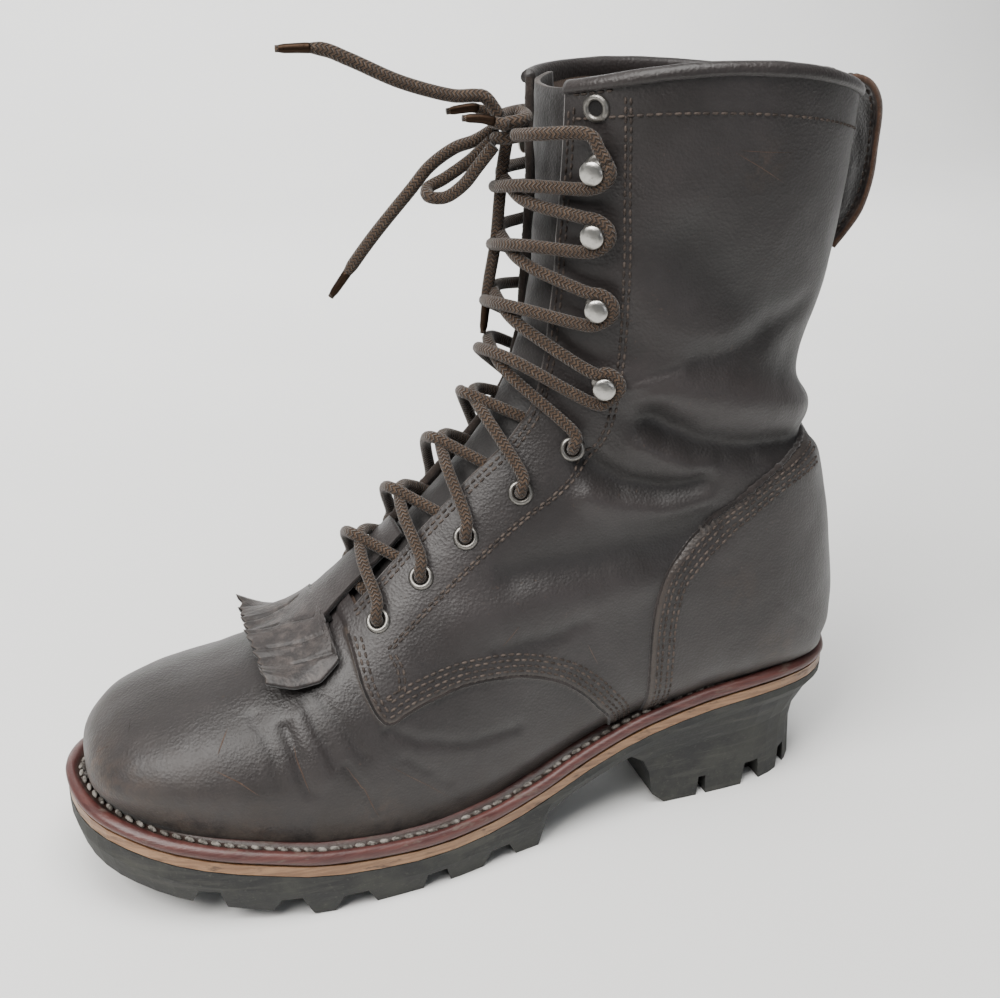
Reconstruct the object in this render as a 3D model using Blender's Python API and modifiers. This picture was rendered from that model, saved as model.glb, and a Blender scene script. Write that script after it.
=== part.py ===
"""Left logger boot as separate solids, in metres: +X to the toe, +Y to the outer side, +Z up.

The origin is the middle of the heel's flat rest face. Forms are worked out from the sizes named
here, and the tables hold shares of those sizes.
"""

import math

import bmesh
import bpy
import numpy as np
from mathutils import Matrix, Vector

# Driving sizes
SOLE_LENGTH = 0.312
BALL_HALF_WIDTH = 0.0575
HEEL_LIFT = 0.0475
LAST_MARGIN = 0.010
LAST_LENGTH = SOLE_LENGTH - LAST_MARGIN
SHAFT_HEIGHT = 0.282
LAST_HALF_WIDTH = 0.050
HEEL_REST_X = 0.0455
COLLAR_RISE = 0.012
INNER_RISE_SHARE = 0.3

# Leather and rubber thicknesses
VAMP_WALL = 0.0015
QUARTER_STEP = 0.0013
COUNTER_THICKNESS = 0.0016
TONGUE_THICKNESS = 0.0022
TONGUE_GAP = 0.0014
KILTIE_THICKNESS = 0.0018
INSOLE_THICKNESS = 0.0030
MIDSOLE_THICKNESS = 0.0044
WELT_THICKNESS = 0.0046
SHANK_THICKNESS = 0.0080
PART_GAP = 0.0003
WELT_SEAT_GAP = 0.0007
COUNTER_GAP = 0.0007

# Feather line, where the upper meets the welt, inside the sole's edge
FEATHER_SCALE = 0.87
FEATHER_REAR = 0.0035
FEATHER_TOE = 0.0070
INSOLE_INSET = 0.0042
WELT_INNER_INSET = 0.0180

# Rubber lugs and heel
SOLE_TOP_INSET = 0.0004
SOLE_TREAD_INSET = 0.0026
LUG_DEPTH = 0.0070
LUG_INNER_Y = 0.024
CHANNEL_HALF_WIDTH = 0.0028
SHANK_RAMP_LOW = 0.1400
SHANK_RAMP_HIGH = 0.1360
HEEL_NOTCH_REACH = 0.016

# Throat fittings
EYELET_OUTER = 0.0057
EYELET_BORE = 0.0027
EYELET_BARREL = 0.0035
EYELET_HOLE = 0.0039
EYELET_FLANGE = 0.0009
HOOK_BASE_RADIUS = 0.0046
HOOK_BASE_HEIGHT = 0.0009
HOOK_NECK_RADIUS = 0.0015
HOOK_NECK_HEIGHT = 0.0068
HOOK_CAP_RADIUS = 0.0043
HOOK_CAP_HEIGHT = 0.0016
FITTING_SIDES = 10

# Lace
LACE_RADIUS = 0.0022
LACE_LIFT = 0.0062
LACE_MIDDLE_LIFT = 0.0056
LACE_POINT_STEP = 0.007
LACE_TURN = 0.0052

# Collar and pull loop
BEAD_HALF_WIDTH = 0.0023
BEAD_HALF_HEIGHT = 0.0026
BEAD_OUT = 0.0010
BEAD_SIDES = 6
LOOP_HALF_WIDTH = 0.0115
LOOP_THICKNESS = 0.0022

# Sole outline: share of the sole's length from its rear, then the outer and inner half widths as
# shares of the ball's half width
OUTLINE_ROWS = [
    (0.000, 0.000, 0.000),
    (0.032, 0.385, 0.380),
    (0.077, 0.530, 0.520),
    (0.131, 0.600, 0.585),
    (0.221, 0.625, 0.602),
    (0.295, 0.635, 0.590),
    (0.362, 0.670, 0.575),
    (0.465, 0.783, 0.620),
    (0.609, 0.957, 0.790),
    (0.728, 1.000, 0.900),
    (0.788, 0.975, 0.905),
    (0.836, 0.930, 0.875),
    (0.897, 0.815, 0.765),
    (0.939, 0.675, 0.625),
    (0.965, 0.550, 0.490),
    (0.986, 0.370, 0.320),
    (1.000, 0.000, 0.000),
]

# Share of the sole's length, then the height of the midsole's underside and of the tread as
# shares of the heel's lift
LIFT_ROWS = [
    (0.00, 0.980, 0.00),
    (0.10, 1.000, 0.00),
    (0.20, 0.945, 0.00),
    (0.30, 0.800, 0.00),
    (0.40, 0.575, 0.00),
    (0.46, 0.430, 0.00),
    (0.52, 0.345, 0.00),
    (0.60, 0.318, 0.00),
    (0.72, 0.375, 0.00),
    (0.80, 0.470, 0.11),
    (0.90, 0.585, 0.24),
    (0.96, 0.680, 0.34),
    (1.00, 0.770, 0.45),
]

# Upper, from the toe's tip over the instep to the collar. Front point x and z, back point x and z
# as shares of the last's length and the shaft's height (the feather line sets z where it is 0),
# outer and inner half widths as shares of the last's half width, share of the section where it is
# widest, and the powers of its upper and lower corners
LAST_ROWS = [
    (1.0099, 0.1489, 1.0099, 0, 0.000, 0.000, 0.50, 2.00, 2.0),
    (1.0116, 0.1684, 1.0017, 0, 0.310, 0.310, 0.55, 2.00, 2.6),
    (1.0060, 0.1915, 0.9884, 0, 0.490, 0.480, 0.60, 2.00, 2.8),
    (0.9917, 0.2138, 0.9652, 0, 0.640, 0.615, 0.62, 2.10, 2.8),
    (0.9652, 0.2369, 0.9305, 0, 0.770, 0.735, 0.64, 2.20, 2.8),
    (0.9272, 0.2525, 0.8841, 0, 0.880, 0.835, 0.66, 2.20, 2.8),
    (0.8825, 0.2649, 0.8328, 0, 0.950, 0.895, 0.67, 2.20, 2.8),
    (0.8328, 0.2777, 0.7781, 0, 0.996, 0.926, 0.68, 2.15, 2.8),
    (0.7831, 0.2972, 0.7219, 0, 1.010, 0.924, 0.69, 2.10, 2.6),
    (0.7368, 0.3245, 0.6639, 0, 1.000, 0.890, 0.69, 2.05, 2.4),
    (0.6937, 0.3617, 0.6026, 0, 0.955, 0.825, 0.69, 2.00, 2.2),
    (0.6507, 0.4096, 0.5364, 0, 0.900, 0.775, 0.68, 2.00, 2.0),
    (0.6060, 0.4610, 0.4669, 0, 0.840, 0.740, 0.67, 2.00, 1.9),
    (0.5646, 0.5106, 0.3940, 0, 0.785, 0.720, 0.65, 2.00, 1.8),
    (0.5298, 0.5550, 0.3179, 0, 0.745, 0.702, 0.62, 2.00, 2.0),
    (0.5066, 0.5869, 0.2318, 0, 0.724, 0.718, 0.61, 2.05, 2.6),
    (0.4934, 0.6099, 0.1391, 0, 0.710, 0.722, 0.61, 2.10, 2.8),
    (0.4834, 0.6312, 0.0530, 0, 0.704, 0.726, 0.61, 2.15, 2.6),
    (0.4768, 0.6472, 0.0116, 0.1945, 0.702, 0.728, 0.60, 2.20, 2.3),
    (0.4725, 0.6613, 0.0112, 0.2411, 0.702, 0.726, 0.60, 2.20, 2.2),
    (0.4685, 0.6755, 0.0150, 0.3050, 0.702, 0.720, 0.57, 2.20, 2.2),
    (0.4652, 0.6897, 0.0260, 0.3759, 0.702, 0.706, 0.57, 2.20, 2.2),
    (0.4619, 0.7039, 0.0425, 0.4468, 0.706, 0.694, 0.57, 2.20, 2.2),
    (0.4586, 0.7199, 0.0613, 0.5177, 0.712, 0.700, 0.55, 2.20, 2.2),
    (0.4553, 0.7394, 0.0877, 0.5780, 0.720, 0.708, 0.53, 2.20, 2.2),
    (0.4520, 0.7642, 0.0993, 0.6277, 0.732, 0.720, 0.51, 2.20, 2.2),
    (0.4497, 0.7961, 0.0911, 0.6844, 0.755, 0.738, 0.50, 2.20, 2.2),
    (0.4480, 0.8351, 0.0778, 0.7482, 0.794, 0.766, 0.50, 2.20, 2.2),
    (0.4470, 0.8830, 0.0695, 0.8227, 0.844, 0.800, 0.50, 2.20, 2.2),
    (0.4470, 0.9397, 0.0662, 0.9043, 0.900, 0.835, 0.50, 2.20, 2.2),
    (0.4480, 1.0000, 0.0662, 0.9858, 0.960, 0.870, 0.50, 2.20, 2.2),
]
REAR_ROW = 18
TOP_ROW = 30
RISE_ROW = 26
END_CROWDING = 0.45
THROAT_ROW = 10.3

# Row along the upper, then the throat's half width as a share of the last's half width
THROAT_ROWS = [
    (0.0, 0.26),
    (9.0, 0.28),
    (10.3, 0.31),
    (11.3, 0.29),
    (12.2, 0.27),
    (13.6, 0.28),
    (15.0, 0.31),
    (24.0, 0.32),
    (27.0, 0.34),
    (28.4, 0.37),
    (30.0, 0.41),
]

# Rows and half widths of the tongue, as shares of the last's half width along the surface
TONGUE_ROWS = [
    (9.3, 0.36),
    (10.5, 0.44),
    (12.0, 0.46),
    (14.0, 0.50),
    (16.0, 0.54),
    (20.0, 0.58),
    (24.0, 0.60),
    (27.0, 0.64),
    (30.0, 0.66),
]

# Row, half width as a share of the last's half width, and lift over the last in metres
KILTIE_ROWS = [
    (7.75, 0.56, 0.0062),
    (8.30, 0.64, 0.0040),
    (8.90, 0.66, 0.0022),
    (9.45, 0.60, 0.0020),
    (9.62, 0.23, 0.0020),
    (10.1, 0.20, 0.0020),
    (10.6, 0.19, 0.0014),
    (11.2, 0.18, -0.0002),
    (11.8, 0.17, -0.0010),
]

# Row and distance from the middle of each fitting, as a share of the last's half width
EYELET_ROWS = [
    (10.59, 0.498),
    (11.73, 0.472),
    (12.88, 0.470),
    (14.48, 0.484),
    (17.00, 0.490),
    (29.50, 0.592),
]
HOOK_ROWS = [
    (22.00, 0.550),
    (25.40, 0.566),
    (27.40, 0.570),
    (28.62, 0.590),
]

# Side outline of the vamp's part of the wall: distance from the rear and height, as shares of the
# sole's length and the shaft's height
VAMP_OUTLINE = [
    (1.100, -0.100),
    (1.100, 0.500),
    (0.720, 0.500),
    (0.671, 0.340),
    (0.664, 0.285),
    (0.645, 0.248),
    (0.618, 0.257),
    (0.592, 0.267),
    (0.543, 0.280),
    (0.481, 0.278),
    (0.430, 0.258),
    (0.396, 0.230),
    (0.374, 0.203),
    (0.355, 0.177),
    (0.340, 0.130),
    (0.340, -0.100),
]

# Side outline of the heel counter, in the same shares
COUNTER_OUTLINE = [
    (-0.100, 0.100),
    (0.300, 0.100),
    (0.304, 0.188),
    (0.306, 0.265),
    (0.305, 0.326),
    (0.294, 0.383),
    (0.266, 0.422),
    (0.242, 0.447),
    (0.218, 0.473),
    (0.166, 0.514),
    (0.115, 0.534),
    (0.060, 0.540),
    (-0.100, 0.540),
]

# Lug gaps at the sole's edge: front and rear ends at the tread and at the root, as shares of the
# sole's length
LUG_GAPS = [
    (0.878, 0.841, 0.871, 0.848),
    (0.792, 0.748, 0.780, 0.757),
    (0.718, 0.663, 0.708, 0.679),
    (0.609, 0.569, 0.605, 0.580),
    (0.529, 0.478, 0.519, 0.494),
]

# Gaps between the middle blocks, in the same way
MIDDLE_GAPS = [
    (0.836, 0.814, 0.832, 0.818),
    (0.738, 0.716, 0.734, 0.720),
    (0.640, 0.618, 0.636, 0.622),
    (0.552, 0.532, 0.548, 0.536),
]

# Heel block from the floor up: share of its height, side and rear insets, and the distance of its
# front face from the sole's rear end as a share of the sole's length
HEEL_LEVELS = [
    (0.00, 0.0056, 0.0085, 0.261),
    (0.13, 0.0056, 0.0090, 0.279),
    (0.42, 0.0056, 0.0100, 0.286),
    (0.60, 0.0050, 0.0090, 0.296),
    (0.80, 0.0026, 0.0045, 0.320),
    (0.97, 0.0007, 0.0007, 0.352),
]

# Heel notches: front and rear ends as shares of the sole's length, and depth in metres
HEEL_NOTCHES = [
    (0.214, 0.199, 0.0088),
    (0.146, 0.114, 0.0100),
    (0.082, 0.064, 0.0100),
]

# Pull loop's middle line at the back: x and z as shares of the last's length and shaft's height
LOOP_LINE = [
    (0.0848, 0.880),
    (0.0852, 0.950),
    (0.0842, 1.005),
    (0.0620, 1.026),
    (0.0330, 1.018),
    (0.0150, 0.988),
    (0.0100, 0.940),
    (0.0130, 0.880),
    (0.0260, 0.828),
    (0.0480, 0.792),
    (0.0655, 0.768),
]

# Loose lace pieces: x, y and z in metres from the middle of the heel's rest face
LOOSE_LACES = {
    "lace_end_long": [
        (0.1037, 0.0047, 0.2734),
        (0.1085, 0.0050, 0.2793),
        (0.1125, 0.0050, 0.2802),
        (0.1211, 0.0050, 0.2805),
        (0.1381, 0.0060, 0.2853),
        (0.1542, 0.0060, 0.2923),
        (0.1635, 0.0050, 0.2956),
        (0.1773, 0.0040, 0.2957),
    ],
    "lace_end_short": [
        (0.1056, -0.0011, 0.2730),
        (0.1090, -0.0010, 0.2748),
        (0.1120, -0.0005, 0.2755),
        (0.1206, 0.0000, 0.2746),
    ],
    "lace_end_tipped": [
        (0.1029, 0.0097, 0.2710),
        (0.1080, 0.0100, 0.2726),
        (0.1120, 0.0100, 0.2735),
        (0.1182, 0.0100, 0.2738),
    ],
    "lace_end_lower": [
        (0.1013, -0.0062, 0.2677),
        (0.1070, -0.0110, 0.2630),
        (0.1136, -0.0145, 0.2600),
        (0.1214, -0.0180, 0.2535),
        (0.1282, -0.0200, 0.2448),
        (0.1420, -0.0240, 0.2270),
        (0.1559, -0.0280, 0.2065),
    ],
    "lace_loop": [
        (0.1041, -0.0006, 0.2648),
        (0.1075, -0.0050, 0.2600),
        (0.1110, -0.0080, 0.2560),
        (0.1180, -0.0110, 0.2505),
        (0.1240, -0.0110, 0.2475),
        (0.1250, -0.0060, 0.2455),
        (0.1195, -0.0040, 0.2455),
        (0.1140, -0.0015, 0.2500),
        (0.1105, 0.0018, 0.2560),
        (0.1055, 0.0045, 0.2635),
    ],
    "lace_end_hanging": [
        (0.0971, -0.0050, 0.2664),
        (0.0986, -0.0062, 0.2540),
        (0.0992, -0.0070, 0.2427),
        (0.1000, -0.0080, 0.2282),
        (0.1020, -0.0090, 0.2136),
        (0.1032, -0.0090, 0.2030),
        (0.1040, -0.0090, 0.1945),
    ],
}
KNOT_CENTRE = (0.0985, 0.0010, 0.2695)
KNOT_RADIUS = 0.0052
KNOT_PITCH = 0.0049
KNOT_TURNS = 1.6
KNOT_REACH = 0.0105


def clear_scene():
    for item in list(bpy.data.objects):
        bpy.data.objects.remove(item, do_unlink=True)


def new_collection(name, hidden=False):
    collection = bpy.data.collections.new(name)
    bpy.context.scene.collection.children.link(collection)
    collection.hide_render = hidden
    return collection


def material(name, colour, roughness, metallic=0.0):
    made = bpy.data.materials.new(name)
    made.use_nodes = True
    shader = made.node_tree.nodes["Principled BSDF"]
    shader.inputs["Base Color"].default_value = (*colour, 1.0)
    shader.inputs["Roughness"].default_value = roughness
    shader.inputs["Metallic"].default_value = metallic
    return made


def mesh_object(name, points, faces, surface, collection, merge=1e-6):
    """A mesh in the row's frame, from points whose x starts at the sole's rear end."""
    mesh = bpy.data.meshes.new(name)
    mesh.from_pydata([(p[0] - HEEL_REST_X, p[1], p[2]) for p in points], [], faces)
    form = bmesh.new()
    form.from_mesh(mesh)
    bmesh.ops.remove_doubles(form, verts=form.verts, dist=merge)
    bmesh.ops.recalc_face_normals(form, faces=form.faces)
    form.to_mesh(mesh)
    form.free()
    item = bpy.data.objects.new(name, mesh)
    if surface is not None:
        mesh.materials.append(surface)
    collection.objects.link(item)
    return item


def helper(name, points, faces):
    item = mesh_object(name, points, faces, None, CUTTERS)
    item.hide_render = True
    item.display_type = "WIRE"
    return item


def boolean(item, other, operation, self_crossing=False, solver="EXACT"):
    modifier = item.modifiers.new(operation.lower(), "BOOLEAN")
    modifier.object = other
    modifier.operation = operation
    modifier.solver = solver
    if solver == "EXACT":
        modifier.use_self = self_crossing


def cut_wall(item, other, operation="DIFFERENCE"):
    """The exact solver empties these thin walls, so they take the manifold one."""
    boolean(item, other, operation, solver="MANIFOLD")


def cubic(x, y, tangent, h, i, t):
    return (
        y[i] * (2 * t**3 - 3 * t**2 + 1)
        + h[i] * tangent[i] * (t**3 - 2 * t**2 + t)
        + y[i + 1] * (3 * t**2 - 2 * t**3)
        + h[i] * tangent[i + 1] * (t**3 - t**2)
    )


def along(rows, share, column):
    """One column of a table at shares of the length, on a monotone cubic with round ends."""
    rows = np.asarray(rows, float)
    x = np.arccos(1 - 2 * rows[:, 0])
    y = rows[:, column]
    h = np.diff(x)
    slope = np.diff(y) / h
    tangent = np.zeros(len(x))
    tangent[0], tangent[-1] = slope[0], slope[-1]
    for i in range(1, len(x) - 1):
        if slope[i - 1] * slope[i] > 0:
            before, after = 2 * h[i] + h[i - 1], h[i] + 2 * h[i - 1]
            tangent[i] = (before + after) / (before / slope[i - 1] + after / slope[i])
    place = np.arccos(1 - 2 * np.clip(share, 0, 1))
    i = np.clip(np.searchsorted(x, place) - 1, 0, len(x) - 2)
    return cubic(x, y, tangent, h, i, (place - x[i]) / h[i])


def smooth_row(rows, position):
    """All columns of a table at a fractional row."""
    table = np.asarray(rows, float)
    last = len(table) - 1
    position = min(max(position, 0.0), float(last))
    i = min(int(position), last - 1)
    t = position - i
    before, low, high, after = table[max(i - 1, 0)], table[i], table[i + 1], table[min(i + 2, last)]
    start = (high - before) / (2 if i > 0 else 1)
    end = (after - low) / (2 if i < last - 1 else 1)
    return (
        low * (2 * t**3 - 3 * t**2 + 1)
        + start * (t**3 - 2 * t**2 + t)
        + high * (3 * t**2 - 2 * t**3)
        + end * (t**3 - t**2)
    )


def lookup(rows, position, column=1):
    table = np.asarray(rows, float)
    return float(np.interp(position, table[:, 0], table[:, column]))


def under_midsole(x):
    return HEEL_LIFT * along(LIFT_ROWS, x / SOLE_LENGTH, 1)


def tread(x):
    return HEEL_LIFT * along(LIFT_ROWS, x / SOLE_LENGTH, 2)


def welt_top(x):
    return under_midsole(x) + MIDSOLE_THICKNESS + WELT_THICKNESS


def feather(x):
    """Outer and inner half widths of the feather line at a distance from the rear."""
    share = (x - FEATHER_REAR) / (SOLE_LENGTH - FEATHER_REAR - FEATHER_TOE)
    wide = BALL_HALF_WIDTH * FEATHER_SCALE
    return wide * along(OUTLINE_ROWS, share, 1), wide * along(OUTLINE_ROWS, share, 2)


def section(u, steps=40):
    """Outer and inner halves of a section, from its front point to the feather or back line."""
    row = smooth_row(LAST_ROWS, u)
    front = np.array([row[0] * LAST_LENGTH, 0, row[1] * SHAFT_HEIGHT])
    back_x = row[2] * LAST_LENGTH
    if u < REAR_ROW:
        back = np.array([back_x, 0, welt_top(back_x)])
        feet = feather(back_x)
    else:
        back = np.array([back_x, 0, row[3] * SHAFT_HEIGHT])
        feet = (0.0, 0.0)
    if u == 0:
        front, feet = back, (0.0, 0.0)
    widest, n, m = row[6:]
    angles = np.linspace(0, np.pi / 2, steps // 2 + 1)
    halves = []
    for side, share, foot in ((1, row[4], feet[0]), (-1, row[5], feet[1])):
        wide = max(share * LAST_HALF_WIDTH, foot * 1.02)
        top_c = widest * (1 - np.cos(angles) ** (2 / n))
        top_y = wide * np.sin(angles) ** (2 / n)
        low_c = widest + (1 - widest) * np.sin(angles[1:]) ** (2 / m)
        low_y = foot + (wide - foot) * np.clip(np.cos(angles[1:]), 0, 1) ** (2 / m)
        line = front + np.concatenate([top_c, low_c])[:, None] * (back - front)
        line[:, 1] = np.concatenate([top_y, low_y]) * side
        if u > RISE_ROW:
            rise = COLLAR_RISE * (1.0 if side > 0 else INNER_RISE_SHARE)
            lift = rise * ((u - RISE_ROW) / (TOP_ROW - RISE_ROW)) ** 2
            line[:, 2] += lift * (np.abs(line[:, 1]) / wide) ** 2
        halves.append(line)
    return halves


def run_of(line):
    return np.concatenate([[0], np.cumsum(np.linalg.norm(np.diff(line, axis=0), axis=1))])


def at_runs(line, runs):
    run = run_of(line)
    return np.stack([np.interp(runs, run, line[:, k]) for k in range(3)], axis=1)


def run_at_width(line, half_width):
    half = np.abs(line[:, 1])
    top = int(np.argmax(half))
    return float(np.interp(min(half_width, 0.5 * half[top]), half[: top + 1], run_of(line)[: top + 1]))


def last_grid(positions, inside, outside):
    """Rows of points over the whole upper. The throat's edge always falls on the same column."""
    rows = []
    for u in positions:
        halves = []
        for line in section(u):
            edge = run_at_width(line, lookup(THROAT_ROWS, u) * LAST_HALF_WIDTH)
            end = run_of(line)[-1]
            shares = np.linspace(0, 1, outside + 1)[1:]
            shares = shares - END_CROWDING * np.sin(2 * np.pi * shares) / (2 * np.pi)
            runs = np.concatenate([np.linspace(0, edge, inside + 1), edge + (end - edge) * shares])
            halves.append(at_runs(line, runs))
        row = np.concatenate([halves[0][::-1], halves[1][1:]])
        rows.append(row)
    return np.array(rows)


def strip_grid(rows, columns, steps):
    """Rows of points over the middle of the upper, a table giving row, half width and lift."""
    table = np.asarray(rows, float)
    grid = []
    for u in np.interp(np.linspace(0, 1, steps), np.linspace(0, 1, len(table)), table[:, 0]):
        outer, inner = section(u)
        runs = np.linspace(0, lookup(table, u) * LAST_HALF_WIDTH, columns + 1)
        grid.append(np.concatenate([at_runs(outer, runs)[::-1], at_runs(inner, runs)[1:]]))
    return np.array(grid)


def normals_of(grid):
    across = np.gradient(grid, axis=1)
    down = np.gradient(grid, axis=0)
    normal = np.cross(across, down)
    size = np.linalg.norm(normal, axis=2, keepdims=True)
    normal = normal / np.maximum(size, 1e-12)
    middle = grid.shape[1] // 2
    outward = 1.0 if normal[len(grid) // 2, middle] @ (1, 0, 1) > 0 else -1.0
    return normal * outward


def grid_faces(grid, skip=None):
    count = grid.shape[1]
    faces = []
    for i in range(len(grid) - 1):
        for j in range(count - 1):
            if skip is None or not skip(i, j):
                a = i * count + j
                faces.append((a, a + 1, a + count + 1, a + count))
    return faces


def solid_between(name, low, high, surface, collection):
    """One closed solid between two grids of the same size."""
    rows, count = low.shape[:2]
    points = np.concatenate([low.reshape(-1, 3), high.reshape(-1, 3)])
    top = rows * count
    faces = grid_faces(low)
    faces += [tuple(top + k for k in face[::-1]) for face in grid_faces(high)]
    edge = [j for j in range(count)]
    edge += [i * count + count - 1 for i in range(1, rows)]
    edge += [(rows - 1) * count + j for j in range(count - 2, -1, -1)]
    edge += [i * count for i in range(rows - 2, 0, -1)]
    for a, b in zip(edge, edge[1:] + edge[:1]):
        faces.append((a, b, top + b, top + a))
    return mesh_object(name, points, faces, surface, collection)


def merged_index(points, within=2e-5):
    """For each point, the index of the first point that stands in the same place."""
    keys = np.round(points / within).astype(np.int64)
    _, first, index = np.unique(keys, axis=0, return_index=True, return_inverse=True)
    return first[index.reshape(-1)]


def joined(faces, index):
    """Faces through merged points, without corners that fell together."""
    found = []
    for face in faces:
        corners = tuple(dict.fromkeys(int(index[k]) for k in face))
        if len(corners) > 2:
            found.append(corners)
    return found


def split(faces):
    """Faces cut into triangles from their first corner, so that two grids share their diagonals."""
    return [(face[0], face[k], face[k + 1]) for face in faces for k in range(1, len(face) - 1)]


def shell(name, outer, inner, surface, collection, skip=None):
    """A wall between two grids, with rims along every open edge."""
    points = outer.reshape(-1, 3)
    total = len(points)
    faces = split(joined(grid_faces(outer, skip), merged_index(points)))
    edges = {edge for face in faces for edge in zip(face, face[1:] + face[:1])}
    rims = [(b, a, a + total, b + total) for a, b in edges if (b, a) not in edges]
    faces += [tuple(total + k for k in reversed(face)) for face in faces] + rims
    used = sorted({k for face in faces for k in face})
    renumber = {k: i for i, k in enumerate(used)}
    every = np.concatenate([points, inner.reshape(-1, 3)])[used]
    faces = [tuple(renumber[k] for k in face) for face in faces]
    return mesh_object(name, every, faces, surface, collection)


def closed_form(name, grid):
    """A helper solid from a grid whose first row is a point, closed underneath and on top."""
    rows, count = grid.shape[:2]
    faces = grid_faces(grid)
    for i in range(rows - 1):
        a, b = i * count, (i + 1) * count
        faces.append((a, b, b + count - 1, a + count - 1))
    faces.append(tuple((rows - 1) * count + j for j in range(count)))
    points = grid.reshape(-1, 3)
    faces = joined(faces, merged_index(points))
    used = sorted({k for face in faces for k in face})
    renumber = {k: i for i, k in enumerate(used)}
    return helper(name, points[used], [tuple(renumber[k] for k in face) for face in faces])


def plan_stations(count, extra=()):
    angles = np.linspace(0, np.pi, count)
    return np.unique(np.round(np.concatenate([SOLE_LENGTH * (1 - np.cos(angles)) / 2, extra]), 7))


def plan_row(x, inset, rear=None):
    """Outer and inner points of the sole's outline, moved in from its edge."""
    rear = inset if rear is None else rear
    share = x / SOLE_LENGTH
    place = rear + x * (SOLE_LENGTH - rear - inset) / SOLE_LENGTH
    points = []
    for column, side in ((1, 1), (2, -1)):
        wide = BALL_HALF_WIDTH * along(OUTLINE_ROWS, share, column)
        moved = wide - inset * np.minimum(1.0, wide / (1.2 * max(inset, 0.01)))
        points.append(np.stack([place, side * moved], axis=1))
    return points


def layer_solid(name, stations, levels, surface, collection):
    """A closed plate: each level gives an inset and a function for its height."""
    rings = []
    for inset, height in levels:
        outer, inner = plan_row(stations, inset)
        ring = np.concatenate([outer, inner[-2:0:-1]])
        rings.append(np.column_stack([ring, height(ring[:, 0])]))
    count = len(rings[0])
    points = np.concatenate(rings)
    faces = []
    for k in range(len(rings) - 1):
        for i in range(count):
            a, b = k * count + i, k * count + (i + 1) % count
            faces.append((a, b, b + count, a + count))
    half = len(stations)
    for k in (0, len(rings) - 1):
        base = k * count
        for i in range(half - 1):
            low = base + (count - i) % count
            high = base + (count - i - 1 if i + 1 < half - 1 else half - 1)
            faces.append((base + i, base + i + 1, high, low))
    faces = [tuple(dict.fromkeys(face)) for face in faces]
    return mesh_object(name, points, [f for f in faces if len(f) > 2], surface, collection)


def ring_solid(name, stations, profile, surface, collection):
    """A closed band round the sole's outline: each profile point is an inset and a height function."""
    loops = []
    for inset, height in profile:
        outer, inner = plan_row(stations, inset)
        ring = np.concatenate([outer, inner[-2:0:-1]])
        loops.append(np.column_stack([ring, height(ring[:, 0])]))
    count, levels = len(loops[0]), len(loops)
    faces = []
    for k in range(levels):
        for i in range(count):
            a, b = k * count + i, k * count + (i + 1) % count
            c, d = ((k + 1) % levels) * count + (i + 1) % count, ((k + 1) % levels) * count + i
            faces.append((a, b, c, d))
    return mesh_object(name, np.concatenate(loops), faces, surface, collection)


def prism(name, outline, low_y, high_y):
    """A side outline drawn out along Y, as a helper."""
    count = len(outline)
    points = [(x, low_y, z) for x, z in outline] + [(x, high_y, z) for x, z in outline]
    faces = [tuple(range(count)), tuple(range(2 * count - 1, count - 1, -1))]
    for i in range(count):
        j = (i + 1) % count
        faces.append((i, i + count, j + count, j))
    return helper(name, points, faces)


def heel_rings():
    rings = []
    for share, side_inset, rear_inset, front in HEEL_LEVELS:
        front_x = front * SOLE_LENGTH
        stations = np.concatenate(
            [front_x * (1 - np.cos(np.linspace(0, np.pi / 2, 13))), [front_x]]
        )[:13]
        place = rear_inset + stations * (front_x - rear_inset) / front_x
        sides = []
        for column, side in ((1, 1), (2, -1)):
            wide = BALL_HALF_WIDTH * along(OUTLINE_ROWS, stations / SOLE_LENGTH, column)
            moved = wide - side_inset * np.minimum(1.0, wide / 0.012)
            sides.append(np.stack([place, side * moved], axis=1))
        plan = np.concatenate([sides[0], sides[1][:0:-1]])
        height = share * (under_midsole(plan[:, 0]) - PART_GAP)
        rings.append(np.column_stack([plan, height]))
    return rings


def heel_block():
    rings = heel_rings()
    count = len(rings[0])
    faces = []
    for k in range(len(rings) - 1):
        for i in range(count):
            a, b = k * count + i, k * count + (i + 1) % count
            faces.append((a, b, b + count, a + count))
    half = (count - 1) // 2
    for k in (0, len(rings) - 1):
        base = k * count
        for i in range(half):
            low = base + (count - i) % count
            high = base + count - i - 1
            face = (base + i, base + i + 1, high, low)
            faces.append(tuple(dict.fromkeys(face)))
    return helper("heel_form", np.concatenate(rings), faces)


def gap_cutters(name, gaps, low_y, high_y, sides):
    """Bodies that cut the gaps between lugs, following the tread's rise."""
    points, faces = [], []
    for front, rear, root_front, root_rear in gaps:
        for side in sides:
            low = float(tread(0.5 * (front + rear) * SOLE_LENGTH))
            floor = low - 0.012
            slope = (front - root_front) / LUG_DEPTH
            reach = slope * (low - floor)
            outline = [
                (rear * SOLE_LENGTH - reach * SOLE_LENGTH, floor),
                (front * SOLE_LENGTH + reach * SOLE_LENGTH, floor),
                (root_front * SOLE_LENGTH, low + LUG_DEPTH),
                (root_rear * SOLE_LENGTH, low + LUG_DEPTH),
            ]
            base = len(points)
            ys = (side * low_y, side * high_y)
            points += [(x, y, z) for y in ys for x, z in outline]
            faces += [(base, base + 1, base + 2, base + 3), (base + 7, base + 6, base + 5, base + 4)]
            for i in range(4):
                j = (i + 1) % 4
                faces.append((base + i, base + i + 4, base + j + 4, base + j))
    return helper(name, points, faces)


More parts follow.
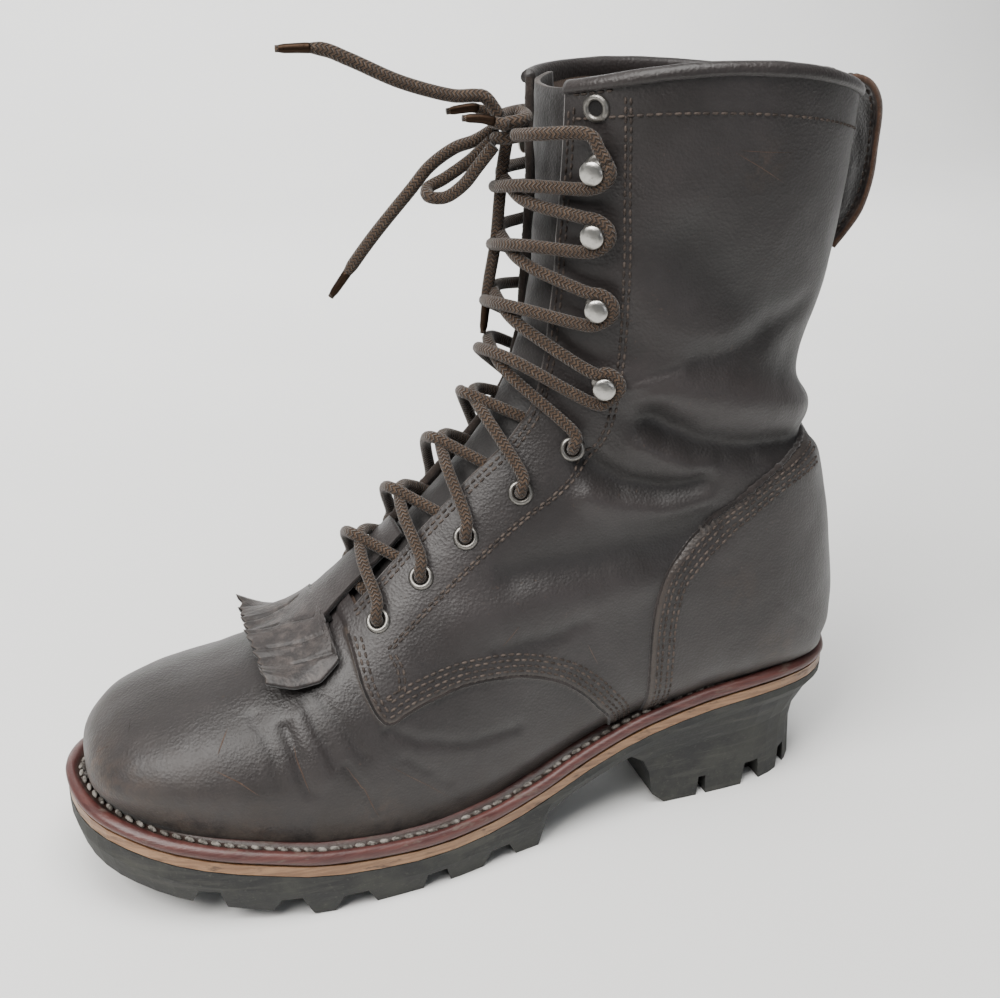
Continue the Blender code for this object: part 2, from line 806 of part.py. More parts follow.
def channel_cutter(name, side):
    """The long groove between the side lugs and the middle blocks."""
    xs = np.linspace(0.472, 0.905, 12) * SOLE_LENGTH
    points, faces = [], []
    for x in xs:
        inner = LUG_INNER_Y * (1 - 0.35 * max(0.0, (x / SOLE_LENGTH - 0.75) / 0.155))
        low = float(tread(x))
        for y, z in (
            (inner - CHANNEL_HALF_WIDTH - 0.0012, low - 0.010),
            (inner + CHANNEL_HALF_WIDTH + 0.0012, low - 0.010),
            (inner + CHANNEL_HALF_WIDTH, low + LUG_DEPTH - 0.0006),
            (inner - CHANNEL_HALF_WIDTH, low + LUG_DEPTH - 0.0006),
        ):
            points.append((x, side * y, z))
    for i in range(len(xs) - 1):
        for k in range(4):
            a, b = 4 * i + k, 4 * i + (k + 1) % 4
            faces.append((a, b, b + 4, a + 4))
    end = 4 * (len(xs) - 1)
    faces += [(0, 1, 2, 3), (end + 3, end + 2, end + 1, end)]
    return helper(name, points, faces)


def under_forepart(x):
    """Underside of the rubber: the tread in front, then a short ramp up to the shank."""
    x = np.asarray(x, float)
    shank = under_midsole(x) - SHANK_THICKNESS
    t = np.clip((x - SHANK_RAMP_HIGH) / (SHANK_RAMP_LOW - SHANK_RAMP_HIGH), 0, 1)
    return shank * (1 - t) + tread(x) * t


def build_sole(rubber, tan, red, board, parts):
    stations = plan_stations(40, (SHANK_RAMP_LOW, SHANK_RAMP_HIGH))
    top = lambda x: under_midsole(x) - PART_GAP
    blend = lambda share: lambda x: top(x) * (1 - share) + under_forepart(x) * share
    outsole = layer_solid(
        "outsole",
        stations,
        [(SOLE_TOP_INSET, top), (SOLE_TOP_INSET, blend(0.4)), (SOLE_TREAD_INSET, blend(1.0))],
        rubber,
        parts,
    )
    boolean(outsole, heel_block(), "UNION")
    boolean(outsole, gap_cutters("lug_gaps", LUG_GAPS, LUG_INNER_Y - 0.002, 0.075, (1, -1)), "DIFFERENCE")
    boolean(outsole, gap_cutters("middle_gaps", MIDDLE_GAPS, -LUG_INNER_Y, LUG_INNER_Y, (1,)), "DIFFERENCE")
    for name, side in (("outer_channel", 1), ("inner_channel", -1)):
        boolean(outsole, channel_cutter(name, side), "DIFFERENCE")
    points, faces = [], []
    for front, rear, depth in HEEL_NOTCHES:
        for side, column in ((1, 1), (-1, 2)):
            middle = 0.5 * (front + rear)
            edge = BALL_HALF_WIDTH * float(along(OUTLINE_ROWS, middle, column))
            ys = (side * (edge - HEEL_NOTCH_REACH), side * (edge + 0.01))
            lean = 0.16 * (front - rear)
            outline = [
                (rear * SOLE_LENGTH, -0.002),
                (front * SOLE_LENGTH, -0.002),
                ((front - lean) * SOLE_LENGTH, depth),
                ((rear + lean) * SOLE_LENGTH, depth),
            ]
            base = len(points)
            points += [(x, y, z) for y in ys for x, z in outline]
            faces += [(base, base + 1, base + 2, base + 3), (base + 7, base + 6, base + 5, base + 4)]
            for i in range(4):
                j = (i + 1) % 4
                faces.append((base + i, base + i + 4, base + j + 4, base + j))
    boolean(outsole, helper("heel_notches", points, faces), "DIFFERENCE")

    plates = plan_stations(34)
    middle_top = lambda x: under_midsole(x) + MIDSOLE_THICKNESS - PART_GAP
    layer_solid("midsole", plates, [(0.0005, middle_top), (0.0005, under_midsole)], tan, parts)
    low = lambda x: under_midsole(x) + MIDSOLE_THICKNESS + WELT_SEAT_GAP - PART_GAP
    high = lambda x: welt_top(x)
    ring_solid(
        "welt",
        plates,
        [
            (0.0008, low),
            (0.0, lambda x: low(x) + 0.35 * WELT_THICKNESS),
            (0.0004, lambda x: low(x) + 0.80 * WELT_THICKNESS),
            (0.0022, high),
            (WELT_INNER_INSET, high),
            (WELT_INNER_INSET, low),
        ],
        red,
        parts,
    )
    build_insole(board, parts)


def build_insole(board, parts):
    length = SOLE_LENGTH - FEATHER_REAR - FEATHER_TOE
    angles = np.linspace(0, np.pi, 30)
    share = (1 - np.cos(angles)) / 2
    xs = FEATHER_REAR + INSOLE_INSET + share * (length - 2 * INSOLE_INSET)
    sides = []
    for column, side in ((1, 1), (2, -1)):
        wide = BALL_HALF_WIDTH * FEATHER_SCALE * along(OUTLINE_ROWS, share, column)
        moved = wide - INSOLE_INSET * np.minimum(1.0, wide / 0.014)
        sides.append(np.stack([xs, side * moved], axis=1))
    ring = np.concatenate([sides[0], sides[1][-2:0:-1]])
    low = np.column_stack([ring, welt_top(ring[:, 0]) + PART_GAP])
    high = low + (0, 0, INSOLE_THICKNESS)
    count, half = len(ring), len(share)
    faces = [(i, (i + 1) % count, (i + 1) % count + count, i + count) for i in range(count)]
    for base in (0, count):
        for i in range(half - 1):
            a = base + (count - i) % count
            b = base + (count - i - 1 if i + 1 < half - 1 else half - 1)
            faces.append(tuple(dict.fromkeys((base + i, base + i + 1, b, a))))
    mesh_object("insole", np.concatenate([low, high]), faces, board, parts)


def seat_cutter():
    """Everything under the upper's seat on the welt."""
    xs = np.concatenate([[-0.03], plan_stations(40), [SOLE_LENGTH + 0.03]])
    tops = welt_top(xs) + PART_GAP
    points, faces = [], []
    for x, top in zip(xs, tops):
        points += [(x, -0.09, top), (x, 0.09, top), (x, 0.09, -0.05), (x, -0.09, -0.05)]
    for i in range(len(xs) - 1):
        for k in range(4):
            a, b = 4 * i + k, 4 * i + (k + 1) % 4
            faces.append((a, b, b + 4, a + 4))
    end = 4 * (len(xs) - 1)
    faces += [(0, 1, 2, 3), (end + 3, end + 2, end + 1, end)]
    return helper("seat", points, faces)


WALL_COLUMNS = (2, 9)
UPPER_POSITIONS = np.concatenate(
    [
        [0, 0.12, 0.35, 0.65, 1, 1.5, 2, 2.6, 3.3],
        np.arange(4, 10),
        [THROAT_ROW, 11, 12, 13, 14, 15, 16, 17, 17.6],
        np.arange(18, 30),
        [TOP_ROW],
    ]
)


def offset_grid(positions, inside, outside, offset, below=0.004):
    """The last's grid moved out along its normals, its lower edge drawn down past the seat."""
    grid = last_grid(positions, inside, outside)
    normal = normals_of(grid)
    normal[:, grid.shape[1] // 2, 1] = 0
    rear = np.asarray(positions) >= REAR_ROW
    normal[rear, 0, 1] = 0
    normal /= np.linalg.norm(normal, axis=2, keepdims=True)
    if positions[0] == 0:
        normal[0] = (1, 0, 0)
    moved = grid + normal * offset
    moved[rear, -1] = moved[rear, 0]
    drop = np.zeros((len(positions), 1, 3))
    drop[~rear, 0, 2] = below
    return np.concatenate([moved[:, :1] - drop, moved, moved[:, -1:] - drop], axis=1)


def build_upper(leather, parts, seat):
    inside, outside = WALL_COLUMNS
    positions = UPPER_POSITIONS
    outer = offset_grid(positions, inside, outside, QUARTER_STEP)
    inner = offset_grid(positions, inside, outside, -VAMP_WALL)
    for wall in (outer, inner):
        wall[-1, :, 2] -= BEAD_HALF_HEIGHT + PART_GAP
    middle = outer.shape[1] // 2
    first = int(np.argmin(np.abs(positions - THROAT_ROW)))

    def in_throat(i, j):
        return i >= first and middle - inside <= j < middle + inside

    upper = shell("upper", outer, inner, leather, parts, in_throat)
    cut_wall(upper, seat)
    body = closed_form("last_form", offset_grid(positions, inside, outside, 0.0, 0.012))
    recess = prism(
        "vamp_recess",
        [(x * SOLE_LENGTH, z * SHAFT_HEIGHT) for x, z in VAMP_OUTLINE],
        -0.09,
        0.09,
    )
    boolean(recess, body, "DIFFERENCE")
    cut_wall(upper, recess)
    return upper


def build_counter(leather, parts, seat):
    first = int(np.argmin(np.abs(UPPER_POSITIONS - 13)))
    last = int(np.argmin(np.abs(UPPER_POSITIONS - 24))) + 1
    low = QUARTER_STEP + COUNTER_GAP
    outer = offset_grid(UPPER_POSITIONS, *WALL_COLUMNS, low + COUNTER_THICKNESS)[first:last]
    inner = offset_grid(UPPER_POSITIONS, *WALL_COLUMNS, low)[first:last]
    middle = outer.shape[1] // 2
    counter = shell(
        "heel_counter",
        outer,
        inner,
        leather,
        parts,
        lambda i, j: middle - 4 <= j < middle + 4,
    )
    cut_wall(counter, seat)
    outline = prism(
        "counter_outline",
        [(x * SOLE_LENGTH, z * SHAFT_HEIGHT) for x, z in COUNTER_OUTLINE],
        -0.09,
        0.09,
    )
    cut_wall(counter, outline, "INTERSECT")


def build_tongue(leather, parts):
    grid = strip_grid(TONGUE_ROWS, 3, 16)
    normal = normals_of(grid)
    outer = -(VAMP_WALL + TONGUE_GAP)
    solid_between(
        "tongue", grid + normal * (outer - TONGUE_THICKNESS), grid + normal * outer, leather, parts
    )


def build_kiltie(leather, parts):
    table = np.asarray(KILTIE_ROWS, float)
    rows = []
    lifts = []
    for u in np.interp(np.linspace(0, 8, 13), np.arange(9), table[:, 0]):
        outer, inner = section(u)
        runs = np.linspace(0, lookup(table, u) * LAST_HALF_WIDTH, 6)
        rows.append(np.concatenate([at_runs(outer, runs)[::-1], at_runs(inner, runs)[1:]]))
        lifts.append(lookup(table, u, 2))
    grid = np.array(rows)
    normal = normals_of(grid)
    for j in range(1, grid.shape[1], 2):
        grid[0, j] = grid[0, j] * 0.55 + grid[1, j] * 0.45
    low = grid + normal * np.array(lifts)[:, None, None]
    solid_between("kiltie", low, low + normal * KILTIE_THICKNESS, leather, parts)


def place(u, half_width, side):
    """Point, outward normal and direction toward the collar on the last's surface."""
    def spot(row, wide):
        line = section(row)[0 if side > 0 else 1]
        half = np.abs(line[:, 1])
        top = int(np.argmax(half))
        return np.array([np.interp(wide, half[: top + 1], line[: top + 1, k]) for k in range(3)])

    here = spot(u, half_width)
    up = spot(u + 0.05, half_width) - spot(u - 0.05, half_width)
    out = spot(u, half_width + 0.0004) - spot(u, half_width - 0.0004)
    normal = np.cross(out, up) * side
    normal /= np.linalg.norm(normal)
    if normal @ (1, 0, 0.3) < 0:
        normal = -normal
    up /= np.linalg.norm(up)
    return here, normal, up


def turned(name, profile, surface, point, normal):
    """A profile of radius and height turned about the surface's normal."""
    sides = FITTING_SIDES
    mesh = bpy.data.meshes.new(name)
    mesh.from_pydata([(r, 0, h) for r, h in profile], [(i, i + 1) for i in range(len(profile) - 1)], [])
    if surface is not None:
        mesh.materials.append(surface)
    item = bpy.data.objects.new(name, mesh)
    (PARTS if surface is not None else CUTTERS).objects.link(item)
    spin = item.modifiers.new("turn", "SCREW")
    spin.steps = sides
    spin.render_steps = sides
    spin.use_merge_vertices = True
    spin.merge_threshold = 0.00005
    spin.use_normal_flip = True
    turn = Vector((0, 0, 1)).rotation_difference(Vector(normal)).to_matrix().to_4x4()
    shift = Matrix.Translation(Vector((point[0] - HEEL_REST_X, point[1], point[2])))
    item.matrix_world = shift @ turn
    return item


def build_fittings(metal, upper):
    top = QUARTER_STEP + PART_GAP
    holes = bmesh.new()
    for index, (u, share) in enumerate(EYELET_ROWS, 1):
        for side, word in ((1, "outer"), (-1, "inner")):
            point, normal, _ = place(u, share * LAST_HALF_WIDTH, side)
            turned(
                f"eyelet_{word}_{index}",
                [
                    (EYELET_BORE, top + EYELET_FLANGE),
                    (EYELET_BORE, -VAMP_WALL),
                    (EYELET_BARREL, -VAMP_WALL),
                    (EYELET_BARREL, top),
                    (EYELET_OUTER, top),
                    (EYELET_OUTER - 0.0008, top + EYELET_FLANGE),
                    (EYELET_BORE, top + EYELET_FLANGE),
                ],
                metal,
                point,
                normal,
            )
            turn = Vector((0, 0, 1)).rotation_difference(Vector(normal)).to_matrix().to_4x4()
            shift = Matrix.Translation(Vector((point[0] - HEEL_REST_X, point[1], point[2])))
            bmesh.ops.create_cone(
                holes,
                cap_ends=True,
                segments=FITTING_SIDES,
                radius1=EYELET_HOLE,
                radius2=EYELET_HOLE,
                depth=0.012,
                matrix=shift @ turn,
            )
    mesh = bpy.data.meshes.new("eyelet_holes")
    holes.to_mesh(mesh)
    holes.free()
    cutter = bpy.data.objects.new("eyelet_holes", mesh)
    CUTTERS.objects.link(cutter)
    cutter.hide_render = True
    cutter.display_type = "WIRE"
    cut_wall(upper, cutter)
    for index, (u, share) in enumerate(HOOK_ROWS, 1):
        for side, word in ((1, "outer"), (-1, "inner")):
            point, normal, _ = place(u, share * LAST_HALF_WIDTH, side)
            base = top + HOOK_BASE_HEIGHT
            neck = base + HOOK_NECK_HEIGHT
            turned(
                f"hook_{word}_{index}",
                [
                    (0.0, top),
                    (HOOK_BASE_RADIUS, top),
                    (HOOK_BASE_RADIUS, base),
                    (HOOK_NECK_RADIUS, base),
                    (HOOK_NECK_RADIUS, neck),
                    (HOOK_CAP_RADIUS - 0.0003, neck),
                    (HOOK_CAP_RADIUS, neck + 0.0005),
                    (HOOK_CAP_RADIUS - 0.0012, neck + HOOK_CAP_HEIGHT - 0.0002),
                    (0.0, neck + HOOK_CAP_HEIGHT),
                ],
                metal,
                point,
                normal,
            )


def tube(name, points, radius, surface, collection):
    """A cord along points whose x starts at the sole's rear end."""
    curve = bpy.data.curves.new(name, "CURVE")
    curve.dimensions = "3D"
    curve.bevel_depth = radius
    curve.bevel_resolution = 2
    curve.use_fill_caps = True
    spline = curve.splines.new("POLY")
    spline.points.add(len(points) - 1)
    for knot, (x, y, z) in zip(spline.points, points):
        knot.co = (x - HEEL_REST_X, y, z, 1)
    item = bpy.data.objects.new(name, curve)
    if surface is not None:
        curve.materials.append(surface)
    collection.objects.link(item)
    return item


def tube_mesh(name, points, radius, surface, collection):
    curve_item = tube(name + "_line", points, radius, None, CUTTERS)
    bpy.context.view_layer.update()
    graph = bpy.context.evaluated_depsgraph_get()
    mesh = bpy.data.meshes.new_from_object(curve_item.evaluated_get(graph))
    bpy.data.objects.remove(curve_item, do_unlink=True)
    form = bmesh.new()
    form.from_mesh(mesh)
    bmesh.ops.remove_doubles(form, verts=form.verts, dist=1e-6)
    form.to_mesh(mesh)
    form.free()
    mesh.name = name
    mesh.materials.clear()
    if surface is not None:
        mesh.materials.append(surface)
    item = bpy.data.objects.new(name, mesh)
    collection.objects.link(item)
    return item


def lace_stops():
    rows = [row for row in EYELET_ROWS if row[0] < 20] + HOOK_ROWS
    return [(u, share * LAST_HALF_WIDTH) for u, share in rows]


def lace_line(first_side):
    """One strand zigzagging up the throat, turning round each fitting."""
    points = []
    stops = lace_stops()
    side = first_side
    for index, (u, wide) in enumerate(stops):
        point, normal, up = place(u, wide, side)
        across = np.cross(normal, up)
        across /= np.linalg.norm(across)
        if across[1] * side < 0:
            across = -across
        center = point + normal * LACE_LIFT
        if index > 0:
            points.append(center - up * LACE_TURN * 0.85 + across * LACE_TURN * 0.25)
        points.append(center + across * LACE_TURN - up * LACE_TURN * 0.3)
        if index < len(stops) - 1:
            points.append(center + across * LACE_TURN + up * LACE_TURN * 0.3)
            points.append(center + up * LACE_TURN * 0.85 + across * LACE_TURN * 0.25)
            next_u, next_wide = stops[index + 1]
            for t in (0.26, 0.5, 0.74):
                y = (1 - t) * wide - t * next_wide
                row = (1 - t) * u + t * next_u
                here_side = side if y > 0 else -side
                spot, lean, _ = place(row, max(abs(y), 0.0006), here_side)
                lift = LACE_LIFT + (LACE_MIDDLE_LIFT - LACE_LIFT) * math.sin(math.pi * t)
                points.append(spot + lean * lift)
        side = -side
    return points


def build_lace(cord):
    outer = lace_line(1)
    inner = lace_line(-1)
    lace = tube_mesh("lace_crossings", outer, LACE_RADIUS, cord, PARTS)
    other = tube_mesh("lace_other_strand", inner, LACE_RADIUS, None, CUTTERS)
    other.hide_render = True
    other.display_type = "WIRE"
    boolean(lace, other, "UNION", True)


def smooth_line(points, step):
    """The points' smooth curve, sampled about every step."""
    rough = np.array([smooth_row(points, t) for t in np.linspace(0, len(points) - 1, 8 * len(points))])
    run = run_of(rough)
    return at_runs(rough, np.linspace(0, run[-1], max(3, int(run[-1] / step) + 1)))


def build_loose_laces(cord):
    shift = np.array((HEEL_REST_X, 0, 0))
    for name, points in LOOSE_LACES.items():
        tube(name, smooth_line(np.array(points) + shift, LACE_POINT_STEP), LACE_RADIUS, cord, PARTS)
    turns = np.linspace(0, KNOT_TURNS, int(10 * KNOT_TURNS) + 1)
    angles = 2 * math.pi * turns
    knot = np.column_stack(
        [
            KNOT_RADIUS * np.cos(angles),
            KNOT_RADIUS * 1.15 * np.sin(angles),
            KNOT_PITCH * (turns - KNOT_TURNS / 2),
        ]
    )
    tube("lace_knot", knot + KNOT_CENTRE + shift, LACE_RADIUS, cord, PARTS)
    u, wide = lace_stops()[-1]
    for side, word in ((1, "outer"), (-1, "inner")):
        point, normal, up = place(u, wide, side)
        across = np.cross(normal, up)
        across *= math.copysign(1, across[1] * side) / np.linalg.norm(across)
        heading = across * 0.75 + up * 0.55
        heading /= np.linalg.norm(heading)
        centre = point + normal * LACE_LIFT
        start = centre + across * LACE_TURN - up * LACE_TURN * 0.3 + heading * LACE_RADIUS * 0.95
        turn = centre + across * LACE_TURN * 1.15 + up * LACE_TURN * 0.6
        above = centre + across * LACE_TURN * 0.5 + up * LACE_TURN * 2.2
        end = np.array(KNOT_CENTRE) + shift + (0.002, side * KNOT_REACH, -0.0015)
        middle = (above + end) / 2 + (0.004, side * 0.001, 0.0005)
        line = smooth_line([start, turn, above, middle, end], LACE_POINT_STEP * 0.6)
        tube(f"lace_riser_{word}", line, LACE_RADIUS, cord, PARTS)


def build_collar(leather, parts):
    """A rolled edge along the collar from one side of the throat round the back to the other."""
    outer, inner = section(TOP_ROW)
    path = []
    start = run_at_width(outer, lookup(THROAT_ROWS, TOP_ROW) * LAST_HALF_WIDTH)
    end = run_of(outer)[-1]
    runs = np.linspace(start, end, 14)
    half = at_runs(outer, runs)
    other = at_runs(inner, runs)[::-1][1:]
    path = np.concatenate([half, other])
    tangent = np.gradient(path, axis=0)
    tangent /= np.linalg.norm(tangent, axis=1, keepdims=True)
    side = np.cross(tangent, (0, 0, 1))
    side /= np.linalg.norm(side, axis=1, keepdims=True)
    centre = path.mean(axis=0)
    if (side[len(path) // 2] @ (path[len(path) // 2] - centre)) < 0:
        side = -side
    rings = []
    for point, out in zip(path, side):
        ring = []
        for k in range(BEAD_SIDES):
            angle = 2 * math.pi * k / BEAD_SIDES
            ring.append(
                point
                + out * (BEAD_OUT + BEAD_HALF_WIDTH * math.cos(angle))
                + np.array((0, 0, BEAD_HALF_HEIGHT * math.sin(angle)))
            )
        rings.append(ring)
    points = np.array(rings).reshape(-1, 3)
    faces = []
    for i in range(len(rings) - 1):
        for k in range(BEAD_SIDES):
            a, b = i * BEAD_SIDES + k, i * BEAD_SIDES + (k + 1) % BEAD_SIDES
            faces.append((a, b, b + BEAD_SIDES, a + BEAD_SIDES))
    last = (len(rings) - 1) * BEAD_SIDES
    faces += [tuple(range(BEAD_SIDES)), tuple(last + k for k in range(BEAD_SIDES - 1, -1, -1))]
    mesh_object("collar_binding", points, faces, leather, parts)


def build_pull_loop(leather, parts):
    line = np.array([(x * LAST_LENGTH, 0, z * SHAFT_HEIGHT) for x, z in LOOP_LINE])
    count = 19
    rows = np.array([smooth_row(line, t) for t in np.linspace(0, len(line) - 1, count)])
    tangent = np.gradient(rows, axis=0)
    tangent /= np.linalg.norm(tangent, axis=1, keepdims=True)
    out = np.cross(tangent, (0, 1, 0))
    low = np.stack([rows - out * LOOP_THICKNESS / 2 + (0, side, 0) for side in (-LOOP_HALF_WIDTH, LOOP_HALF_WIDTH)], axis=1)
    high = np.stack([rows + out * LOOP_THICKNESS / 2 + (0, side, 0) for side in (-LOOP_HALF_WIDTH, LOOP_HALF_WIDTH)], axis=1)
    solid_between("pull_loop", low, high, leather, parts)


clear_scene()
PARTS = new_collection("logger_boot")
CUTTERS = new_collection("cutters", hidden=True)
LEATHER = material("boot_leather", (0.060, 0.040, 0.034), 0.50)
LACE_CORD = material("lace_cord", (0.085, 0.050, 0.026), 0.85)
RUBBER = material("sole_rubber", (0.030, 0.033, 0.034), 0.72)
TAN = material("midsole_leather", (0.320, 0.160, 0.065), 0.60)
RED = material("welt_leather", (0.110, 0.035, 0.030), 0.45)
BOARD = material("insole_leather", (0.200, 0.120, 0.070), 0.80)
METAL = material("fitting_metal", (0.620, 0.610, 0.580), 0.30, 1.0)

build_sole(RUBBER, TAN, RED, BOARD, PARTS)
SEAT = seat_cutter()
UPPER = build_upper(LEATHER, PARTS, SEAT)
build_counter(LEATHER, PARTS, SEAT)
build_tongue(LEATHER, PARTS)
build_kiltie(LEATHER, PARTS)
build_collar(LEATHER, PARTS)
build_pull_loop(LEATHER, PARTS)
build_fittings(METAL, UPPER)
build_lace(LACE_CORD)
build_loose_laces(LACE_CORD)
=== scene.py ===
"""Looks of the left logger boot: leather skins, stitching, laces, welt and surfaces, in metres.

Tables and section functions are the solids' own. Lengths along X start at the sole's rear end
until a mesh is made, which moves them to the middle of the heel's rest face.
"""

import math

import bmesh
import bpy
import numpy as np
from mathutils import Matrix, Vector, noise
from mathutils.bvhtree import BVHTree


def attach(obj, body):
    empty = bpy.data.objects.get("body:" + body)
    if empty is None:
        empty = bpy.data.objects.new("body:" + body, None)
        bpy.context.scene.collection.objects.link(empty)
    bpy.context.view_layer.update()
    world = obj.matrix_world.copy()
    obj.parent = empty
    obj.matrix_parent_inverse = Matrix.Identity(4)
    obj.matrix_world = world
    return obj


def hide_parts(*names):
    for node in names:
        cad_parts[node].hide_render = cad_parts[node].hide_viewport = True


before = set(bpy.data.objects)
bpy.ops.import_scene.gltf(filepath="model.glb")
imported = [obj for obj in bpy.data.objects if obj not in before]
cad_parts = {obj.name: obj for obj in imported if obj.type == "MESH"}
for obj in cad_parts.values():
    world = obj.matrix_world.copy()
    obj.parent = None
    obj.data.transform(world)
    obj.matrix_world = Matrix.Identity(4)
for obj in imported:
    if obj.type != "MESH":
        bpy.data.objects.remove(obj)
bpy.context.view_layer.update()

# Driving sizes of the solids
SOLE_LENGTH = 0.312
BALL_HALF_WIDTH = 0.0575
HEEL_LIFT = 0.0475
LAST_LENGTH = SOLE_LENGTH - 0.010
SHAFT_HEIGHT = 0.282
LAST_HALF_WIDTH = 0.050
HEEL_REST_X = 0.0455
COLLAR_RISE = 0.012
INNER_RISE_SHARE = 0.3
VAMP_WALL = 0.0015
QUARTER_STEP = 0.0013
COUNTER_STEP = 0.0017
TONGUE_DROP = 0.0029
KILTIE_THICKNESS = 0.0022
MIDSOLE_THICKNESS = 0.0044
WELT_THICKNESS = 0.0046
FEATHER_SCALE = 0.87
FEATHER_REAR = 0.0035
FEATHER_TOE = 0.0070
LACE_RADIUS = 0.0022
LOOP_HALF_WIDTH = 0.0115
LOOP_THICKNESS = 0.0022
REAR_ROW = 18
TOP_ROW = 30
RISE_ROW = 26
THROAT_ROW = 10.3
FOOT_EASE = 1.02

# Values of this script only
COLLAR_STITCH_ROW = 29.46
TAB_STITCH_ROW = 29.87
ROW_NUDGE = 0.05
WIDTH_NUDGE = 0.0004
MM = 0.001
ORIGIN = (HEEL_REST_X, 0, 0)

# Share of the sole's length, then the outer and inner half widths as shares of the ball's
OUTLINE_ROWS = [
    (0.000, 0.000, 0.000), (0.032, 0.385, 0.380), (0.077, 0.530, 0.520), (0.131, 0.600, 0.585),
    (0.221, 0.625, 0.602), (0.295, 0.635, 0.590), (0.362, 0.670, 0.575), (0.465, 0.783, 0.620),
    (0.609, 0.957, 0.790), (0.728, 1.000, 0.900), (0.788, 0.975, 0.905), (0.836, 0.930, 0.875),
    (0.897, 0.815, 0.765), (0.939, 0.675, 0.625), (0.965, 0.550, 0.490), (0.986, 0.370, 0.320),
    (1.000, 0.000, 0.000),
]
# Share of the sole's length and height under the midsole as a share of the heel's
LIFT_ROWS = [
    (0.00, 0.980), (0.10, 1.000), (0.20, 0.945), (0.30, 0.800), (0.40, 0.575), (0.46, 0.430),
    (0.52, 0.345), (0.60, 0.318), (0.72, 0.375), (0.80, 0.470), (0.90, 0.585), (0.96, 0.680),
    (1.00, 0.770),
]
# Front point x and z, back point x and z, outer and inner half width, where the section is widest
# and its two roundness powers
LAST_ROWS = [
    (1.0099, 0.1489, 1.0099, 0, 0.000, 0.000, 0.50, 2.00, 2.0),
    (1.0116, 0.1684, 1.0017, 0, 0.310, 0.310, 0.55, 2.00, 2.6),
    (1.0060, 0.1915, 0.9884, 0, 0.490, 0.480, 0.60, 2.00, 2.8),
    (0.9917, 0.2138, 0.9652, 0, 0.640, 0.615, 0.62, 2.10, 2.8),
    (0.9652, 0.2369, 0.9305, 0, 0.770, 0.735, 0.64, 2.20, 2.8),
    (0.9272, 0.2525, 0.8841, 0, 0.880, 0.835, 0.66, 2.20, 2.8),
    (0.8825, 0.2649, 0.8328, 0, 0.950, 0.895, 0.67, 2.20, 2.8),
    (0.8328, 0.2777, 0.7781, 0, 0.996, 0.926, 0.68, 2.15, 2.8),
    (0.7831, 0.2972, 0.7219, 0, 1.010, 0.924, 0.69, 2.10, 2.6),
    (0.7368, 0.3245, 0.6639, 0, 1.000, 0.890, 0.69, 2.05, 2.4),
    (0.6937, 0.3617, 0.6026, 0, 0.955, 0.825, 0.69, 2.00, 2.2),
    (0.6507, 0.4096, 0.5364, 0, 0.900, 0.775, 0.68, 2.00, 2.0),
    (0.6060, 0.4610, 0.4669, 0, 0.840, 0.740, 0.67, 2.00, 1.9),
    (0.5646, 0.5106, 0.3940, 0, 0.785, 0.720, 0.65, 2.00, 1.8),
    (0.5298, 0.5550, 0.3179, 0, 0.745, 0.702, 0.62, 2.00, 2.0),
    (0.5066, 0.5869, 0.2318, 0, 0.724, 0.718, 0.61, 2.05, 2.6),
    (0.4934, 0.6099, 0.1391, 0, 0.710, 0.722, 0.61, 2.10, 2.8),
    (0.4834, 0.6312, 0.0530, 0, 0.704, 0.726, 0.61, 2.15, 2.6),
    (0.4768, 0.6472, 0.0116, 0.1945, 0.702, 0.728, 0.60, 2.20, 2.3),
    (0.4725, 0.6613, 0.0112, 0.2411, 0.702, 0.726, 0.60, 2.20, 2.2),
    (0.4685, 0.6755, 0.0150, 0.3050, 0.702, 0.720, 0.57, 2.20, 2.2),
    (0.4652, 0.6897, 0.0260, 0.3759, 0.702, 0.706, 0.57, 2.20, 2.2),
    (0.4619, 0.7039, 0.0425, 0.4468, 0.706, 0.694, 0.57, 2.20, 2.2),
    (0.4586, 0.7199, 0.0613, 0.5177, 0.712, 0.700, 0.55, 2.20, 2.2),
    (0.4553, 0.7394, 0.0877, 0.5780, 0.720, 0.708, 0.53, 2.20, 2.2),
    (0.4520, 0.7642, 0.0993, 0.6277, 0.732, 0.720, 0.51, 2.20, 2.2),
    (0.4497, 0.7961, 0.0911, 0.6844, 0.755, 0.738, 0.50, 2.20, 2.2),
    (0.4480, 0.8351, 0.0778, 0.7482, 0.794, 0.766, 0.50, 2.20, 2.2),
    (0.4470, 0.8830, 0.0695, 0.8227, 0.844, 0.800, 0.50, 2.20, 2.2),
    (0.4470, 0.9397, 0.0662, 0.9043, 0.900, 0.835, 0.50, 2.20, 2.2),
    (0.4480, 1.0000, 0.0662, 0.9858, 0.960, 0.870, 0.50, 2.20, 2.2),
]
# Row and half width as a share of the last's; the kiltie also has its lift in metres
THROAT_ROWS = [
    (0.0, 0.26), (9.0, 0.28), (10.3, 0.31), (11.3, 0.29), (12.2, 0.27), (13.6, 0.28),
    (15.0, 0.31), (24.0, 0.32), (27.0, 0.34), (28.4, 0.37), (30.0, 0.41),
]
TONGUE_ROWS = [
    (9.3, 0.36), (10.5, 0.44), (12.0, 0.46), (14.0, 0.50), (16.0, 0.54), (20.0, 0.58),
    (24.0, 0.60), (27.0, 0.64), (30.0, 0.66),
]
KILTIE_ROWS = [
    (7.75, 0.56, 0.0062), (8.30, 0.64, 0.0040), (8.90, 0.66, 0.0022), (9.45, 0.60, 0.0020),
    (9.62, 0.23, 0.0020), (10.1, 0.20, 0.0020), (10.6, 0.19, 0.0014), (11.2, 0.18, -0.0002),
    (11.8, 0.17, -0.0010),
]
